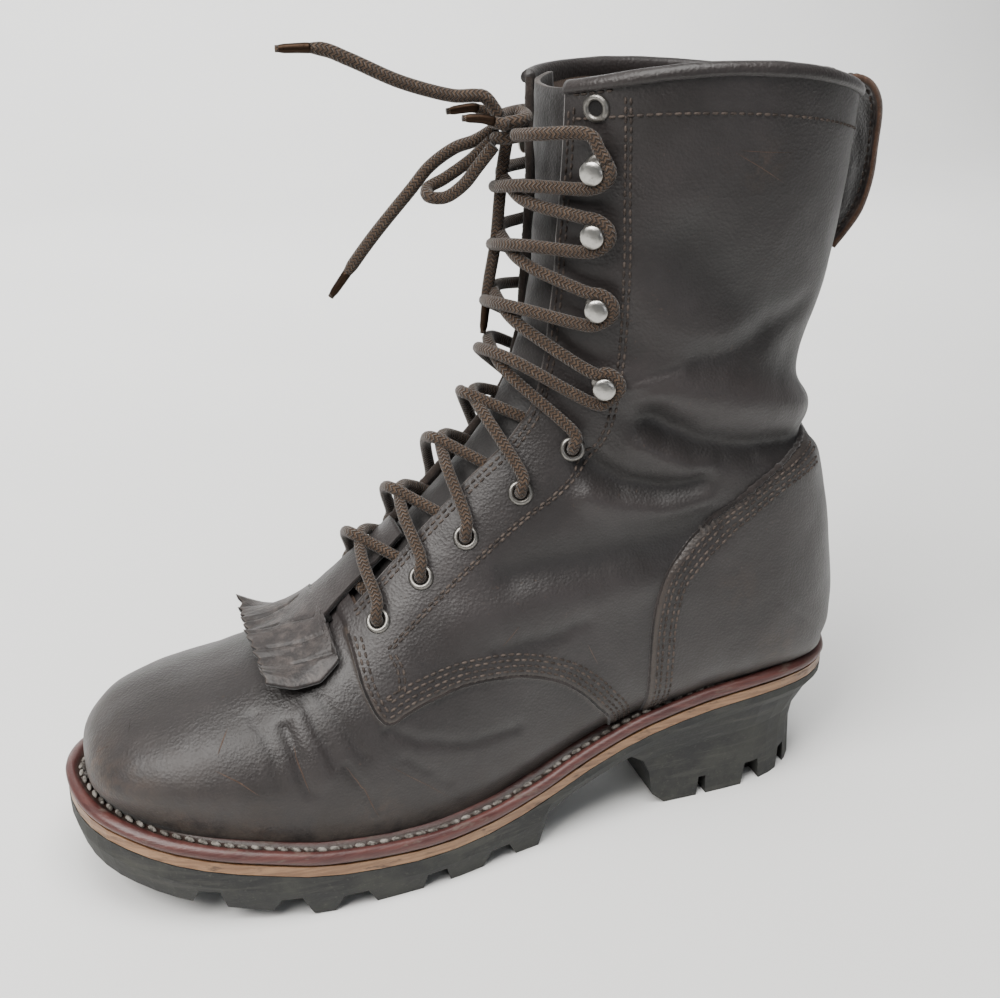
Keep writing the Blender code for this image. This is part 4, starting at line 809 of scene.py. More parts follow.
def to_segments(points, lines, flat):
    """Distance from each point to the nearest of a line's segments."""
    best = np.full(len(points), 1e9)
    use = (0, 2) if flat else (0, 1, 2)
    spots = points[:, use]
    line = np.asarray(lines, float)
    for a, b in zip(line[:-1], line[1:]):
        ab = b - a
        t = np.clip(((spots - a) @ ab) / max(ab @ ab, 1e-12), 0, 1)
        best = np.minimum(best, np.linalg.norm(spots - (a + t[:, None] * ab), axis=1))
    return best


def inside_outline(points, outline):
    x, z = points[:, 0], points[:, 2]
    found = np.zeros(len(points), bool)
    count = len(outline)
    for i in range(count):
        (x1, z1), (x2, z2) = outline[i], outline[(i + 1) % count]
        if z1 == z2:
            continue
        crosses = (z1 > z) != (z2 > z)
        found ^= crosses & (x < (x2 - x1) * (z - z1) / (z2 - z1) + x1)
    return found


def outline_depth(points, table, first, last):
    """Signed side distance to an outline, plus inside it, smoothed between its corners."""
    whole = np.array([(x * SOLE_LENGTH, z * SHAFT_HEIGHT) for x, z in table])
    places = np.linspace(0, last - first, 16 * (last - first) + 1)
    curve = np.array([smooth_row(whole[first : last + 1], t) for t in places])
    whole = np.concatenate([whole[:first], curve, whole[last + 1 :]])
    distance = to_segments(points, curve, True)
    return np.where(inside_outline(points, whole), distance, -distance), curve


def step_of(depth, width):
    """A smooth step from 0 to 1 over a width about zero depth."""
    t = np.clip(depth / width + 0.5, 0, 1)
    return t * t * (3 - 2 * t)


CREASE_SCALE = 1.45
CREASE_SIDES = ((1, 1.0, 0.0), (-1, 0.8, 3.0))


def nearest_of(points, line):
    return np.array([points[np.argmin(((points - at) ** 2).sum(axis=1))] for at in line])


def crease_relief(points):
    """Folds of both sides in metres, outer side first."""
    total = np.zeros(len(points))
    for side, scale, shift in CREASE_SIDES:
        for depth, width, line in CREASES:
            line = np.array([(x + shift, y * side, z) for x, y, z in line]) * MM
            line = nearest_of(points, smooth_line(line, 0.004))
            near = to_segments(points, line, False)
            total += CREASE_SCALE * scale * depth * MM * np.exp(-((near / (width * MM)) ** 2))
    return total


def noise_field(points, scale, seed):
    values = [noise.noise(Vector((x * scale + seed, y * scale, z * scale))) for x, y, z in points]
    return np.array(values)


# Columns of the grid inside the throat's edge and outside it, for each side
INSIDE, OUTSIDE = ((12, 92))
ROWS = row_stations(440)
BASE = last_grid(ROWS, INSIDE, OUTSIDE)
MIDDLE = BASE.shape[1] // 2
REAR = ROWS >= REAR_ROW


def close_rear(grid):
    """The back line, shared by both ends of each row."""
    grid[REAR, 0, 1] = 0
    grid[REAR, -1] = grid[REAR, 0]


def smooth_seat(grid, reach=1.3, passes=14):
    """Rounds the rows where the sections leave the seat for the back line."""
    band = np.nonzero(np.abs(ROWS - REAR_ROW) < reach)[0]
    for _ in range(passes):
        grid[band] = 0.25 * grid[band - 1] + 0.5 * grid[band] + 0.25 * grid[band + 1]
    close_rear(grid)


def above_welt(points):
    return points[..., 2] - welt_top(np.clip(points[..., 0], 0, SOLE_LENGTH))


def tuck_seat(grid, amount=0.0042, reach=0.008):
    """Draws the wall in just above the welt, most at the heel and arch."""
    inward = -normals_of(grid)
    inward[..., 2] = 0
    low = np.clip(above_welt(grid), 0, None)
    share = 0.25 + 0.75 * np.clip((0.20 - grid[..., 0]) / 0.06, 0, 1)
    grid += unit(inward, 1e-6) * (amount * share * np.exp(-((low / reach) ** 2)))[..., None]
    close_rear(grid)


smooth_seat(BASE)
tuck_seat(BASE)


def skin_normals():
    normal = normals_of(BASE)
    normal[:, MIDDLE, 1] = 0
    close_rear(normal)
    normal[0] = (1, 0, 0)
    return unit(normal, 1e-9)


NORMAL = skin_normals()
FLAT = BASE.reshape(-1, 3)
VAMP_DEPTH, VAMP_CURVE = outline_depth(FLAT, VAMP_OUTLINE, 3, 14)
COUNTER_DEPTH, COUNTER_CURVE = outline_depth(FLAT, COUNTER_OUTLINE, 1, 11)
FOLDS = crease_relief(FLAT)
LOWNESS = above_welt(FLAT)
DUST_HEIGHT = 0.007
TOE_DUST_HEIGHT = 0.022
# Trough depth at which the painted shade is full, and crest height at which the painted highlight is full
FULL_FOLD_SHADE = 0.0026
FULL_CREST_HIGHLIGHT = 0.0024


def skin_masks():
    low = np.clip(LOWNESS, 0, None)
    dust = np.exp(-low / DUST_HEIGHT)
    dust += 0.35 * np.exp(-low / TOE_DUST_HEIGHT) * np.clip((FLAT[:, 0] - 0.20) / 0.08, 0, 1)
    scuff = np.zeros(len(FLAT))
    for x, y, z, reach, amount in SCUFF_SPOTS:
        for side, part in ((1, 1.0), (-1, 0.6)):
            near = np.linalg.norm(FLAT - np.array((x, y * side, z)) * MM, axis=1)
            scuff = np.maximum(scuff, part * amount * np.exp(-((near / (reach * MM)) ** 2)))
    return {
        # Painted shade in the troughs of the folds
        "fold_shade": np.clip(-FOLDS / FULL_FOLD_SHADE, 0, 1),
        # Painted highlight on the crests of the folds
        "crest_highlight": np.clip(FOLDS / FULL_CREST_HIGHLIGHT, 0, 1),
        "dust": np.clip(dust, 0, 1),
        "scuff": scuff,
        "edge": 0.5 * np.exp(-((VAMP_DEPTH / 0.0008) ** 2)),
    }


def raised(lift):
    """The last's grid, lifted along its normals."""
    grid = BASE + NORMAL * lift.reshape(BASE.shape[:2])[..., None]
    grid[REAR, -1] = grid[REAR, 0]
    return grid


MASKS = skin_masks()
WAVES = noise_field(FLAT, 32, 3.0) * 0.0006 + noise_field(FLAT, 85, 9.0) * 0.00022
QUARTER = QUARTER_STEP * (1 - step_of(VAMP_DEPTH - 0.0003, 0.0014))
LIFT = QUARTER + FOLDS + WAVES * np.clip(LOWNESS / 0.01, 0, 1)
SKIN = raised(LIFT)


def dropped(grid, below=0.004):
    """The grid with one more column on each side, which goes down past the seat."""
    drop = np.zeros((len(grid), 1, 3))
    drop[~REAR, 0, 2] = below
    return np.concatenate([grid[:, :1] - drop, grid, grid[:, -1:] - drop], axis=1)


def widened(values):
    """Values of the grid, repeated for the two columns that dropped adds."""
    grid = np.asarray(values).reshape(BASE.shape[:2])
    return np.concatenate([grid[:, :1], grid, grid[:, -1:]], axis=1)


def from_middle(centre):
    return (centre[0] - 0.06, centre[1] * 2.0, centre[2] - 0.06)


def skin_piece(name, grid, keep, surface, node, edge=None):
    """A piece from the grid's kept cells, with the leather's masks."""
    points = dropped(grid)
    rows, count = points.shape[:2]
    keep[ROWS[:-1] >= REAR_ROW, 0] = False
    keep[ROWS[:-1] >= REAR_ROW, -1] = False
    masks = {key: widened(values) for key, values in MASKS.items()}
    if edge is not None:
        masks["edge"] = edge
    faces = grid_faces(rows, count, keep)
    mesh_piece(name, points.reshape(-1, 3), faces, surface, (node,), masks=masks, outward=from_middle)


def build_skin():
    rows, count = BASE.shape[0], BASE.shape[1] + 2
    keep = np.ones((rows - 1, count - 1), bool)
    middle = count // 2
    keep[ROWS[:-1] >= THROAT_ROW - 1e-6, middle - INSIDE : middle + INSIDE] = False
    skin_piece("upper_skin", SKIN, keep, LEATHER, "upper")


COUNTER_PLAY = 0.35
COUNTER_ROWS = (12.0, 25)


def build_counter():
    step = COUNTER_STEP * ((1 + COUNTER_PLAY) * step_of(COUNTER_DEPTH, 0.0022) - COUNTER_PLAY)
    grid = raised(LIFT * 0.9 + step + noise_field(FLAT, 60, 5.0) * 0.0002)
    depth = widened(COUNTER_DEPTH)
    rows = ROWS[:-1, None]
    keep = (depth[:-1, :-1] > -0.0016) & (rows > COUNTER_ROWS[0]) & (rows < COUNTER_ROWS[1])
    edge = 0.3 * np.exp(-(((depth - 0.0006) / 0.0009) ** 2))
    skin_piece("heel_counter_skin", grid, keep, COUNTER_LEATHER, "heel_counter", edge)


def inner_face():
    """The wall's inner face, which follows the deeper folds a little."""
    return raised(np.minimum(FOLDS, 0.0) * 0.6 - VAMP_WALL)


def build_lining():
    rows = np.unique(np.append(np.arange(0, len(ROWS), 3), len(ROWS) - 1))
    columns = np.arange(0, BASE.shape[1], 2)
    grid = inner_face()[np.ix_(rows, columns)]
    left = int(np.argmin(np.abs(columns - (MIDDLE - INSIDE))))
    right = int(np.argmin(np.abs(columns - (MIDDLE + INSIDE))))
    keep = np.ones((len(rows) - 1, len(columns) - 1), bool)
    keep[ROWS[rows[:-1]] >= THROAT_ROW, left:right] = False
    mesh_piece(
        "upper_lining",
        grid.reshape(-1, 3),
        grid_faces(len(rows), len(columns), keep),
        LINING_LEATHER,
        outward=lambda centre: tuple(-v for v in from_middle(centre)),
    )


FACING_ROUND = [(1.0, 0.0), (0.85, 0.55), (0.5, 0.8), (0.15, 0.55), (0.0, 0.0)]
FACING_BULGE = 0.0014


def build_facing_edges():
    """The facings' rounded cut edges, from the inner face to the skin."""
    inner = inner_face()
    start = int(np.argmin(np.abs(ROWS - THROAT_ROW)))
    points, faces = [], []
    for column, other in ((MIDDLE - INSIDE, MIDDLE - INSIDE - 1), (MIDDLE + INSIDE, MIDDLE + INSIDE + 1)):
        low, high = inner[start:, column], SKIN[start:, column]
        away = unit(high - SKIN[start:, other]) * FACING_BULGE
        strip = np.stack([low + (high - low) * a + away * b for a, b in FACING_ROUND], axis=1)
        faces.append(grid_faces(len(strip), len(FACING_ROUND)) + sum(len(p) for p in points))
        points.append(strip.reshape(-1, 3))
    mesh_piece(
        "facing_edges",
        np.concatenate(points),
        np.concatenate(faces),
        CUT_EDGE,
        outward=lambda centre: (1, 0, 0.3),
    )


build_skin()
build_counter()
build_lining()
build_facing_edges()


# Surfaces to lay stitches on


def tree_of(name):
    mesh = bpy.data.objects[name].data
    return BVHTree.FromPolygons([v.co for v in mesh.vertices], [tuple(p.vertices) for p in mesh.polygons])


SKIN_TREE = tree_of("upper_skin")
COUNTER_TREE = tree_of("heel_counter_skin")
SIDE_REACH = 0.12


def laid_from_side(curve, side, tree):
    """Points and normals where a side view's line meets the surface."""
    points, normals = [], []
    for x, z in curve:
        start = Vector((x - HEEL_REST_X, side * SIDE_REACH, z))
        spot, normal, _, _ = tree.ray_cast(start, Vector((0, -side, 0)))
        if spot is not None:
            points.append(np.array(spot) + ORIGIN)
            normals.append(np.array(normal) * (1 if normal.y * side > 0 else -1))
    return np.array(points), np.array(normals)


def laid_nearest(path, tree):
    """Points and outward normals where the surface lies nearest to a path."""
    points, normals = [], []
    for point in path:
        spot, normal, _, _ = tree.find_nearest(Vector(point - ORIGIN))
        spot, out = np.array(spot) + ORIGIN, np.array(normal)
        points.append(spot)
        normals.append(out if out @ np.array(from_middle(spot)) >= 0 else -out)
    return np.array(points), np.array(normals)


def beside(curve, distance):
    """A side view's line moved sideways, to its left."""
    tangent = headings(curve)
    return curve + np.stack([-tangent[:, 1], tangent[:, 0]], axis=1) * distance


def even(curve, step=0.0010):
    """A flat or full line with its points an even step apart."""
    curve = np.asarray(curve, float)
    flat = curve.shape[1] == 2
    full = np.column_stack([curve[:, 0], np.zeros(len(curve)), curve[:, -1]]) if flat else curve
    length = run_of(full)[-1]
    moved = at_runs(full, np.linspace(0, length, max(3, int(length / step))))
    return moved[:, (0, 2)] if flat else moved


STITCH_PITCH = 0.0030
STITCH_SHARE = 0.80
STITCH_SHAPE = [(0.0, 0.15), (0.12, 0.75), (0.35, 1.0), (0.65, 1.0), (0.88, 0.75), (1.0, 0.15)]
STITCH_SIDES = 6
STITCH_RADIUS = 0.00050
LOOP_STITCH = (0.00042, 0.00045)
WELT_STITCH = (0.00092, 0.00090)
WELT_STITCH_PITCH = 0.0047
WELT_STITCH_TWIST = 0.00035


def oval(centre, across, out, width, height, sides):
    """A ring of points with one half width across and another outward."""
    angles = 2 * math.pi * np.arange(sides) / sides
    return [centre + across * width * math.cos(a) + out * height * math.sin(a) for a in angles]


def stitch_piece(name, lines, size, surface, pitch=STITCH_PITCH, twist=0.0):
    """Separate stitches along lines of points and normals, joined in one mesh."""
    width, height = size
    points, faces = [], []
    for path, normals in lines:
        if len(path) < 3:
            continue
        run = run_of(path)
        for start in np.arange(0.0004, run[-1] - pitch * STITCH_SHARE, pitch):
            ends = at_runs(path, [start, start + pitch * STITCH_SHARE])
            middle = start + pitch * 0.4
            out = unit(np.array([np.interp(middle, run, normals[:, k]) for k in range(3)]))
            if np.linalg.norm(ends[1] - ends[0]) < pitch * 0.3:
                continue
            across = unit(np.cross(unit(ends[1] - ends[0]), out))
            ends = ends + across * np.array([[-twist], [twist]])
            base = len(points)
            for t, share in STITCH_SHAPE:
                centre = ends[0] + (ends[1] - ends[0]) * t
                centre = centre + out * height * (0.25 * math.sin(math.pi * t) - 0.1)
                points += oval(centre, across, out, width * share, height * share, STITCH_SIDES)
            faces += ring_faces(len(STITCH_SHAPE), STITCH_SIDES, base)
            faces.append(tuple(range(base, base + STITCH_SIDES)))
            faces.append(tuple(range(len(points) - 1, len(points) - STITCH_SIDES - 1, -1)))
    return mesh_piece(name, points, faces, surface)


def facing_line(side, away, low, high):
    """A line beside the throat's edge, a distance from it along the surface."""
    path = []
    for u in np.linspace(low, high, 200):
        line = section(u)[0 if side > 0 else 1]
        path.append(at_runs(line, [throat_edge(line, u) + away])[0])
    return laid_nearest(even(path), SKIN_TREE)


QUARTER_CORNER = (0.645 * SOLE_LENGTH, 0.248 * SHAFT_HEIGHT)
CORNER_INDEX = int(np.argmin(np.abs(VAMP_CURVE - QUARTER_CORNER).sum(axis=1)))
QUARTER_LOW = VAMP_CURVE[CORNER_INDEX:]
QUARTER_FRONT = VAMP_CURVE[: CORNER_INDEX + 1]
# Stitches behind the eyelets and hooks, in mm
BEHIND_EYELETS = [
    (197.4, 32.3, 92.3), (184.9, 30.3, 103.6), (165.8, 28.8, 120.1), (147.1, 28.6, 135.4),
    (132.5, 29.4, 145.7), (117.7, 29.0, 163.1), (113.5, 30.2, 182.0), (112.8, 31.8, 204.2),
    (113.3, 32.6, 225.4), (115.0, 33.9, 249.3), (116.6, 35.4, 272.0), (117.7, 36.1, 284.4),
]


QUARTER_TURN = [(197.4, 92.3), (195.0, 87), (195.2, 82), (196.0, 78)]
COUNTER_ROUGH_FROM = 0.62


def collar_stitch_line():
    outer, inner = section(COLLAR_STITCH_ROW)
    halves = []
    for line in (outer, inner):
        first = throat_edge(line, COLLAR_STITCH_ROW) + 0.004
        halves.append(at_runs(line, np.linspace(first, run_of(line)[-1], 160)))
    return laid_nearest(even(np.concatenate([halves[0], halves[1][::-1][1:]])), SKIN_TREE)


def upper_stitch_lines():
    lines = []
    for side in (1, -1):
        for inset in (2.4, 4.4, 6.6, 8.6):
            curve = even(beside(QUARTER_LOW, -inset * MM))
            lines.append(laid_from_side(curve[: int(0.97 * len(curve))], side, SKIN_TREE))
        for inset in (1.7, 3.7):
            lines.append(laid_from_side(even(beside(QUARTER_FRONT, -inset * MM)), side, SKIN_TREE))
            lines.append(facing_line(side, inset * MM, THROAT_ROW - 0.1, 29.75))
        scale = 1.0 if side > 0 else 0.93
        for shift in (0.0, 2.0):
            line = np.array([(x - shift, y * scale * side, z) for x, y, z in BEHIND_EYELETS]) * MM
            lines.append(laid_nearest(smooth_line(line, 0.001), SKIN_TREE))
            curve = (np.array(QUARTER_TURN) - (shift, 0)) * MM
            lines.append(laid_from_side(even(curve), side, SKIN_TREE))
    lines.append(collar_stitch_line())
    for line in section(TAB_STITCH_ROW):
        first = throat_edge(line, TAB_STITCH_ROW) + 0.003
        lines.append(laid_nearest(at_runs(line, np.linspace(first, first + 0.017, 20)), SKIN_TREE))
    return lines


def counter_stitch_lines():
    lines = []
    for side in (1, -1):
        for inset in (2.4, 4.4, 7.0, 9.0):
            curve = even(beside(COUNTER_CURVE, inset * MM))
            first, last = int(0.10 * len(curve)), int(0.97 * len(curve))
            lines.append(laid_from_side(curve[first:last], side, COUNTER_TREE))
    return lines


def ribbon_piece(name, lines, width, height, surface, rough):
    """A low rounded ribbon along each line, as a cut edge."""
    sides = 8
    points, faces = [], []
    for path, normals in lines:
        if len(path) < 3:
            continue
        faces += ring_faces(len(path), sides, len(points))
        for p, n, a in zip(path, normals, unit(np.cross(headings(path), normals))):
            wobble = 1 + rough * noise.noise(Vector(p) * 600)
            points += oval(p, a, n, width * wobble, height * wobble, sides)
    return mesh_piece(name, points, faces, surface)


def build_stitches():
    size = (STITCH_RADIUS, STITCH_RADIUS)
    stitch_piece("upper_stitches", upper_stitch_lines(), size, THREAD)
    stitch_piece("counter_stitches", counter_stitch_lines(), size, THREAD)
    edges = []
    rough_edges = []
    corner = int(COUNTER_ROUGH_FROM * len(COUNTER_CURVE))
    for side in (1, -1):
        for curve in (QUARTER_LOW, QUARTER_FRONT, COUNTER_CURVE[8:corner]):
            edges.append(laid_from_side(even(curve), side, SKIN_TREE))
        rough_edges.append(laid_from_side(even(COUNTER_CURVE[corner - 1 :]), side, SKIN_TREE))
    # The cut edges of the quarter and counter: their own dark edge, and painted shadow for the line under
    # them
    ribbon_piece("quarter_cut_edge", edges, 0.00065, 0.0007, DARK_EDGE, 0.25)
    ribbon_piece("counter_rough_edge", rough_edges, 0.0010, 0.0017, DARK_EDGE, 0.8)


def build_scratches():
    for word, surface in (("pale", SCRATCH), ("dark", DARK_EDGE)):
        points, faces = [], []
        for width, kind, line in SCRATCHES:
            if kind != word:
                continue
            path, normals = laid_nearest(even(np.array(line) * MM, 0.0012), SKIN_TREE)
            faces += (grid_faces(len(path), 3) + len(points)).tolist()
            across = np.cross(headings(path), normals)
            for t, p, n, a in zip(np.linspace(0, 1, len(path)), path, normals, across):
                ragged = 0.55 + 0.7 * abs(noise.noise(Vector(p) * 900))
                half = 0.36 * width * MM * math.sin(math.pi * (0.06 + 0.88 * t)) * ragged
                for share, high in ((-1, 0.04), (0, 0.14), (1, 0.04)):
                    points.append(p + a * half * share + n * high * MM)
        mesh_piece(f"scratches_{word}", points, faces, surface)


build_stitches()
build_scratches()


# Tongue, kiltie, collar and pull loop


def strip_rows(table, columns, steps):
    """Points over the middle of the upper, a table giving row and half width."""
    table = np.asarray(table, float)
    grid = []
    for u in np.interp(np.linspace(0, 1, steps), np.linspace(0, 1, len(table)), table[:, 0]):
        outer, inner = section(u)
        runs = np.linspace(0, lookup(table, u) * LAST_HALF_WIDTH, columns + 1)
        grid.append(np.concatenate([at_runs(outer, runs)[::-1], at_runs(inner, runs)[1:]]))
    return np.array(grid)


def two_sided(name, low, high, surface, node, masks, edge_surface):
    """A closed sheet between two grids, its edges in their own surface."""
    rows, count = low.shape[:2]
    top = rows * count
    points = np.concatenate([low.reshape(-1, 3), high.reshape(-1, 3)])
    face = grid_faces(rows, count)
    faces = face.tolist() + (face[:, ::-1] + top).tolist()
    first_rim = len(faces)
    edge = list(range(count)) + [i * count + count - 1 for i in range(1, rows)]
    edge += [(rows - 1) * count + j for j in range(count - 2, -1, -1)]
    edge += [i * count for i in range(rows - 2, 0, -1)]
    faces += [(a, b, top + b, top + a) for a, b in zip(edge, edge[1:] + edge[:1])]
    masks = {key: np.tile(np.ravel(value), 2) for key, value in masks.items()}
    item = mesh_piece(name, points, faces, surface, (node,), masks=masks)
    item.data.materials.append(edge_surface)
    for polygon in list(item.data.polygons)[first_rim:]:
        polygon.material_index = 1
    return item


TONGUE_THICKNESS = 0.0020


def build_tongue():
    grid = strip_rows(TONGUE_ROWS, 22, 150)
    normal = normals_of(grid)
    flat = grid.reshape(-1, 3)
    crumple = noise_field(flat, 55, 2.0) * 0.0010 + noise_field(flat, 140, 6.0) * 0.0004
    lift = np.clip(crumple, -0.0013, 0.0008).reshape(grid.shape[:2])
    high = grid + normal * (lift - TONGUE_DROP)[..., None]
    low = high - normal * TONGUE_THICKNESS
    across = np.abs(np.linspace(-1, 1, grid.shape[1]))[None, :] * np.ones((len(grid), 1))
    # Painted shade in the troughs of the crumples, and wear near the edges
    masks = {"scuff": np.clip((across - 0.75) * 3, 0, 1) * 0.8, "fold_shade": np.clip(-lift / 0.0012, 0, 1) * 0.6}
    two_sided("tongue_skin", low, high, TONGUE_LEATHER, "tongue", masks, CUT_EDGE)


KILTIE_TEETH = 15
KILTIE_STEPS = 90
TOOTH_COLUMNS = 8
TOOTH_DEPTH = 0.075
SLIT_HALF_WIDTH = 0.55
CREASE_X = 0.226
# Ends x and y of each slit, in mm
SLITS = [
    ((234.4, 11.9), (215.4, 17.8)),
    ((228.7, 22.1), (214.1, 25.2)),
    ((223.8, 4.2), (217.0, 8.4)),
    ((236.0, -8.0), (219.0, -11.0)),
    ((231.0, -19.0), (217.0, -22.0)),
    ((238.0, 1.0), (229.0, 2.5)),
]


def kiltie_grid(columns, start, shares):
    """The kiltie's base points and lifts, each column starting a little later."""
    table = np.asarray(KILTIE_ROWS, float)
    fine = table[0, 0] + (table[-1, 0] - table[0, 0]) * np.linspace(0, 1, 241)
    lines = []
    for u in fine:
        outer, inner = section(u)
        runs = lookup(table, u) * LAST_HALF_WIDTH * np.abs(columns)
        lines.append(np.where((columns < 0)[:, None], at_runs(inner, runs), at_runs(outer, runs)))
    lines = np.array(lines)
    late = start * 0.35
    s = late + (1 - late) * shares[:, None]
    at = s * (len(fine) - 1)
    k = np.minimum(at.astype(int), len(fine) - 2)
    j = np.arange(len(columns))
    grid = lines[k, j] + (lines[k + 1, j] - lines[k, j]) * (at - k)[..., None]
    lifts = np.interp(fine[0] + (fine[-1] - fine[0]) * s, table[:, 0], table[:, 2])
    return grid, lifts


def slit_depth(points):
    slit = np.zeros(len(points))
    for a, b in SLITS:
        ab = np.array(b) - np.array(a)
        spots = points[:, :2] / MM - np.array(a)
        t = np.clip((spots @ ab) / (ab @ ab), 0, 1)
        near = np.linalg.norm(spots - t[:, None] * ab, axis=1)
        slit = np.maximum(slit, np.exp(-((near / SLIT_HALF_WIDTH) ** 2)))
    return slit


def build_kiltie():
    count = KILTIE_TEETH * TOOTH_COLUMNS + 1
    columns = np.linspace(-1, 1, count)
    saw = np.abs(((np.arange(count) / TOOTH_COLUMNS) % 1.0) * 2 - 1)
    uneven = np.array([0.8 + 0.4 * noise.noise(Vector((k * 0.13, 2.5, 0))) for k in range(count)])
    half_steps = np.linspace(0.5, 1, KILTIE_STEPS - 59)[1:]
    shares = np.concatenate([np.linspace(0, 0.5, 60), half_steps])
    grid, lifts = kiltie_grid(columns, TOOTH_DEPTH * (1 - saw**1.4) * uneven, shares)
    back = shares[:, None]
    front = np.clip(1 - back / 0.42, 0, 1)
    lifts = lifts + 0.0012 * np.sin(columns * 9) * front
    lifts += 0.0012 * front**4 * (0.4 + saw) * (0.5 + np.sin(columns * 17) * 0.7)
    corner = np.clip((-columns - 0.62) / 0.38, 0, 1) * np.clip(1 - back / 0.30, 0, 1)
    lifts += 0.0050 * corner**1.5
    lifts += 0.0024 * np.clip((columns - 0.70) / 0.30, 0, 1) * np.clip(1 - back / 0.35, 0, 1)
    flat = grid.reshape(-1, 3)
    slit = slit_depth(flat).reshape(lifts.shape)
    rough = (noise_field(flat, 120, 4.0) * 0.0003).reshape(lifts.shape)
    normal = normals_of(grid)
    base = grid + normal * (lifts + rough)[..., None]
    high = base + normal * (KILTIE_THICKNESS - 0.0008 * slit)[..., None]
    full = np.ones((1, count))
    worn = 0.3 * np.exp(-(((back - 0.08) / 0.12) ** 2)) * full
    worn = np.maximum(worn, 0.55 * np.exp(-(((grid[..., 0] - CREASE_X) / 0.010) ** 2)))
    # Painted shade along the slits; the scuff and edge masks are wear
    masks = {"fold_shade": slit, "scuff": worn, "edge": 0.3 * np.clip(1 - back / 0.02, 0, 1) * full}
    two_sided("kiltie_skin", base, high, KILTIE_LEATHER, "kiltie", masks, DARK_EDGE)


def collar_path():
    halves = []
    for line in section(TOP_ROW):
        halves.append((line, run_of(line)[-1]))
    start = throat_edge(halves[0][0], TOP_ROW)
    outer, inner = (at_runs(line, np.linspace(start, end, 90)) for line, end in halves)
    return np.concatenate([outer, inner[::-1][1:]])


COLLAR_PROFILE = [
    (1.5, -2.2), (2.4, -1.9), (3.0, -0.9), (3.0, 0.3), (2.5, 1.4), (1.5, 2.2), (0.1, 2.5),
    (-1.2, 2.0), (-2.0, 0.9), (-2.3, -0.6), (-2.2, -3.0), (-1.8, -4.4),
]


def build_collar():
    path = collar_path()
    out = unit(np.cross(headings(path), (0, 0, 1)))
    middle = len(path) // 2
    if out[middle] @ (path[middle] - path.mean(axis=0)) < 0:
        out = -out
    points = []
    for p, o in zip(path, out):
        swell = (1 + 0.10 * noise.noise(Vector(p) * 90)) * MM
        points += [p + o * a * swell + np.array((0, 0, h * swell)) for a, h in COLLAR_PROFILE]
    count = len(COLLAR_PROFILE)
    faces = grid_faces(len(path), count).tolist()
    faces += [tuple(range(count)), tuple(range(len(points) - count, len(points)))]
    mesh_piece("collar_roll", points, faces, BINDING_LEATHER, ("collar_binding",))


LOOP_COLUMNS = 15
LOOP_BOW = 0.0006
LOOP_STITCH_SHARE = 0.78


def build_pull_loop():
    line = np.array([(x * LAST_LENGTH, 0, z * SHAFT_HEIGHT) for x, z in LOOP_LINE])
    rows = smooth_line(line, 0.0015)
    out = np.cross(headings(rows), (0, 1, 0))
    columns = np.linspace(-1, 1, LOOP_COLUMNS)
    bow = LOOP_BOW * (1 - columns**2)
    low, high = [], []
    for i, (p, o) in enumerate(zip(rows, out)):
        wide = LOOP_HALF_WIDTH * (1 + 0.03 * math.sin(i * 0.23))
        edge = np.stack([p + (0, wide * c, 0) for c in columns])
        wave = np.array([0.0004 * noise.noise(Vector((i * 0.12, c * 3, 1.0))) for c in columns])
        low.append(edge - o * (LOOP_THICKNESS / 2 - bow - wave)[:, None])
        high.append(edge + o * (LOOP_THICKNESS / 2 + bow + wave)[:, None])
    low, high = np.array(low), np.array(high)
    scuff = np.clip((np.abs(columns) - 0.7) * 3, 0, 1)[None, :] * np.ones((len(rows), 1))
    two_sided("pull_loop_strap", low, high, BINDING_LEATHER, "pull_loop", {"scuff": scuff}, BROWN_EDGE)
    lines = []
    for c in (-LOOP_STITCH_SHARE, LOOP_STITCH_SHARE):
        k = round((c + 1) / 2 * (LOOP_COLUMNS - 1))
        lines += [(high[2:-2, k], out[2:-2]), (low[2:-2, k], -out[2:-2])]
    stitch_piece("loop_stitches", lines, LOOP_STITCH, THREAD)


build_tongue()
build_kiltie()
build_collar()
build_pull_loop()


# Sole pieces


def ring_points(inset, height, stations):
    outer, inner = plan_row(stations, inset)
    ring = np.concatenate([outer, inner[-2:0:-1]])
    return np.column_stack([ring, height(ring[:, 0])])


WELT_PROFILE = [
    (1.2, 0.0), (0.3, 0.7), (0.0, 1.9), (0.3, 3.2), (1.2, 4.3), (2.4, 4.75), (3.4, 4.3),
    (4.1, 3.2), (4.6, 2.9), (6.4, 2.9), (7.2, 3.4), (8.2, 4.6), (18.0, 4.6),
]
CHANNEL = (3.9, 7.3)
WELT_STITCH_INSET = 5.35
WELT_STITCH_HEIGHT = 3.5


def build_welt():
    """A rolled welt with a stitched channel between the roll and the upper."""
    stations = SOLE_LENGTH * (1 - np.cos(np.linspace(0, np.pi, 280))) / 2

    def ring_at(inset, height):
        base = MIDSOLE_THICKNESS + 0.0002 + height * MM
        return ring_points(inset * MM, lambda x: under_midsole(x) + base, stations)

    rings = [ring_at(inset, height) for inset, height in WELT_PROFILE]
    count = len(rings[0])
    # Painted shade in the channel between the roll and the upper
    fold_shade = np.repeat([1.0 if CHANNEL[0] < inset < CHANNEL[1] else 0.0 for inset, _ in WELT_PROFILE], count)
    mesh_piece(
        "welt_roll",
        np.concatenate(rings),
        ring_faces(len(rings), count),
        RED_LAYER,
        ("welt",),
        {"fold_shade": fold_shade},
        lambda c: (c[0] - 0.11, c[1], 0.05),
    )
    ring = ring_at(WELT_STITCH_INSET, WELT_STITCH_HEIGHT)
    ring = np.concatenate([ring, ring[:1]])
    lines = [(ring, np.tile((0.0, 0.0, 1.0), (len(ring), 1)))]
    stitch_piece(
        "welt_stitches",
        lines,
        WELT_STITCH,
        WELT_THREAD,
        WELT_STITCH_PITCH,
        WELT_STITCH_TWIST,
    )


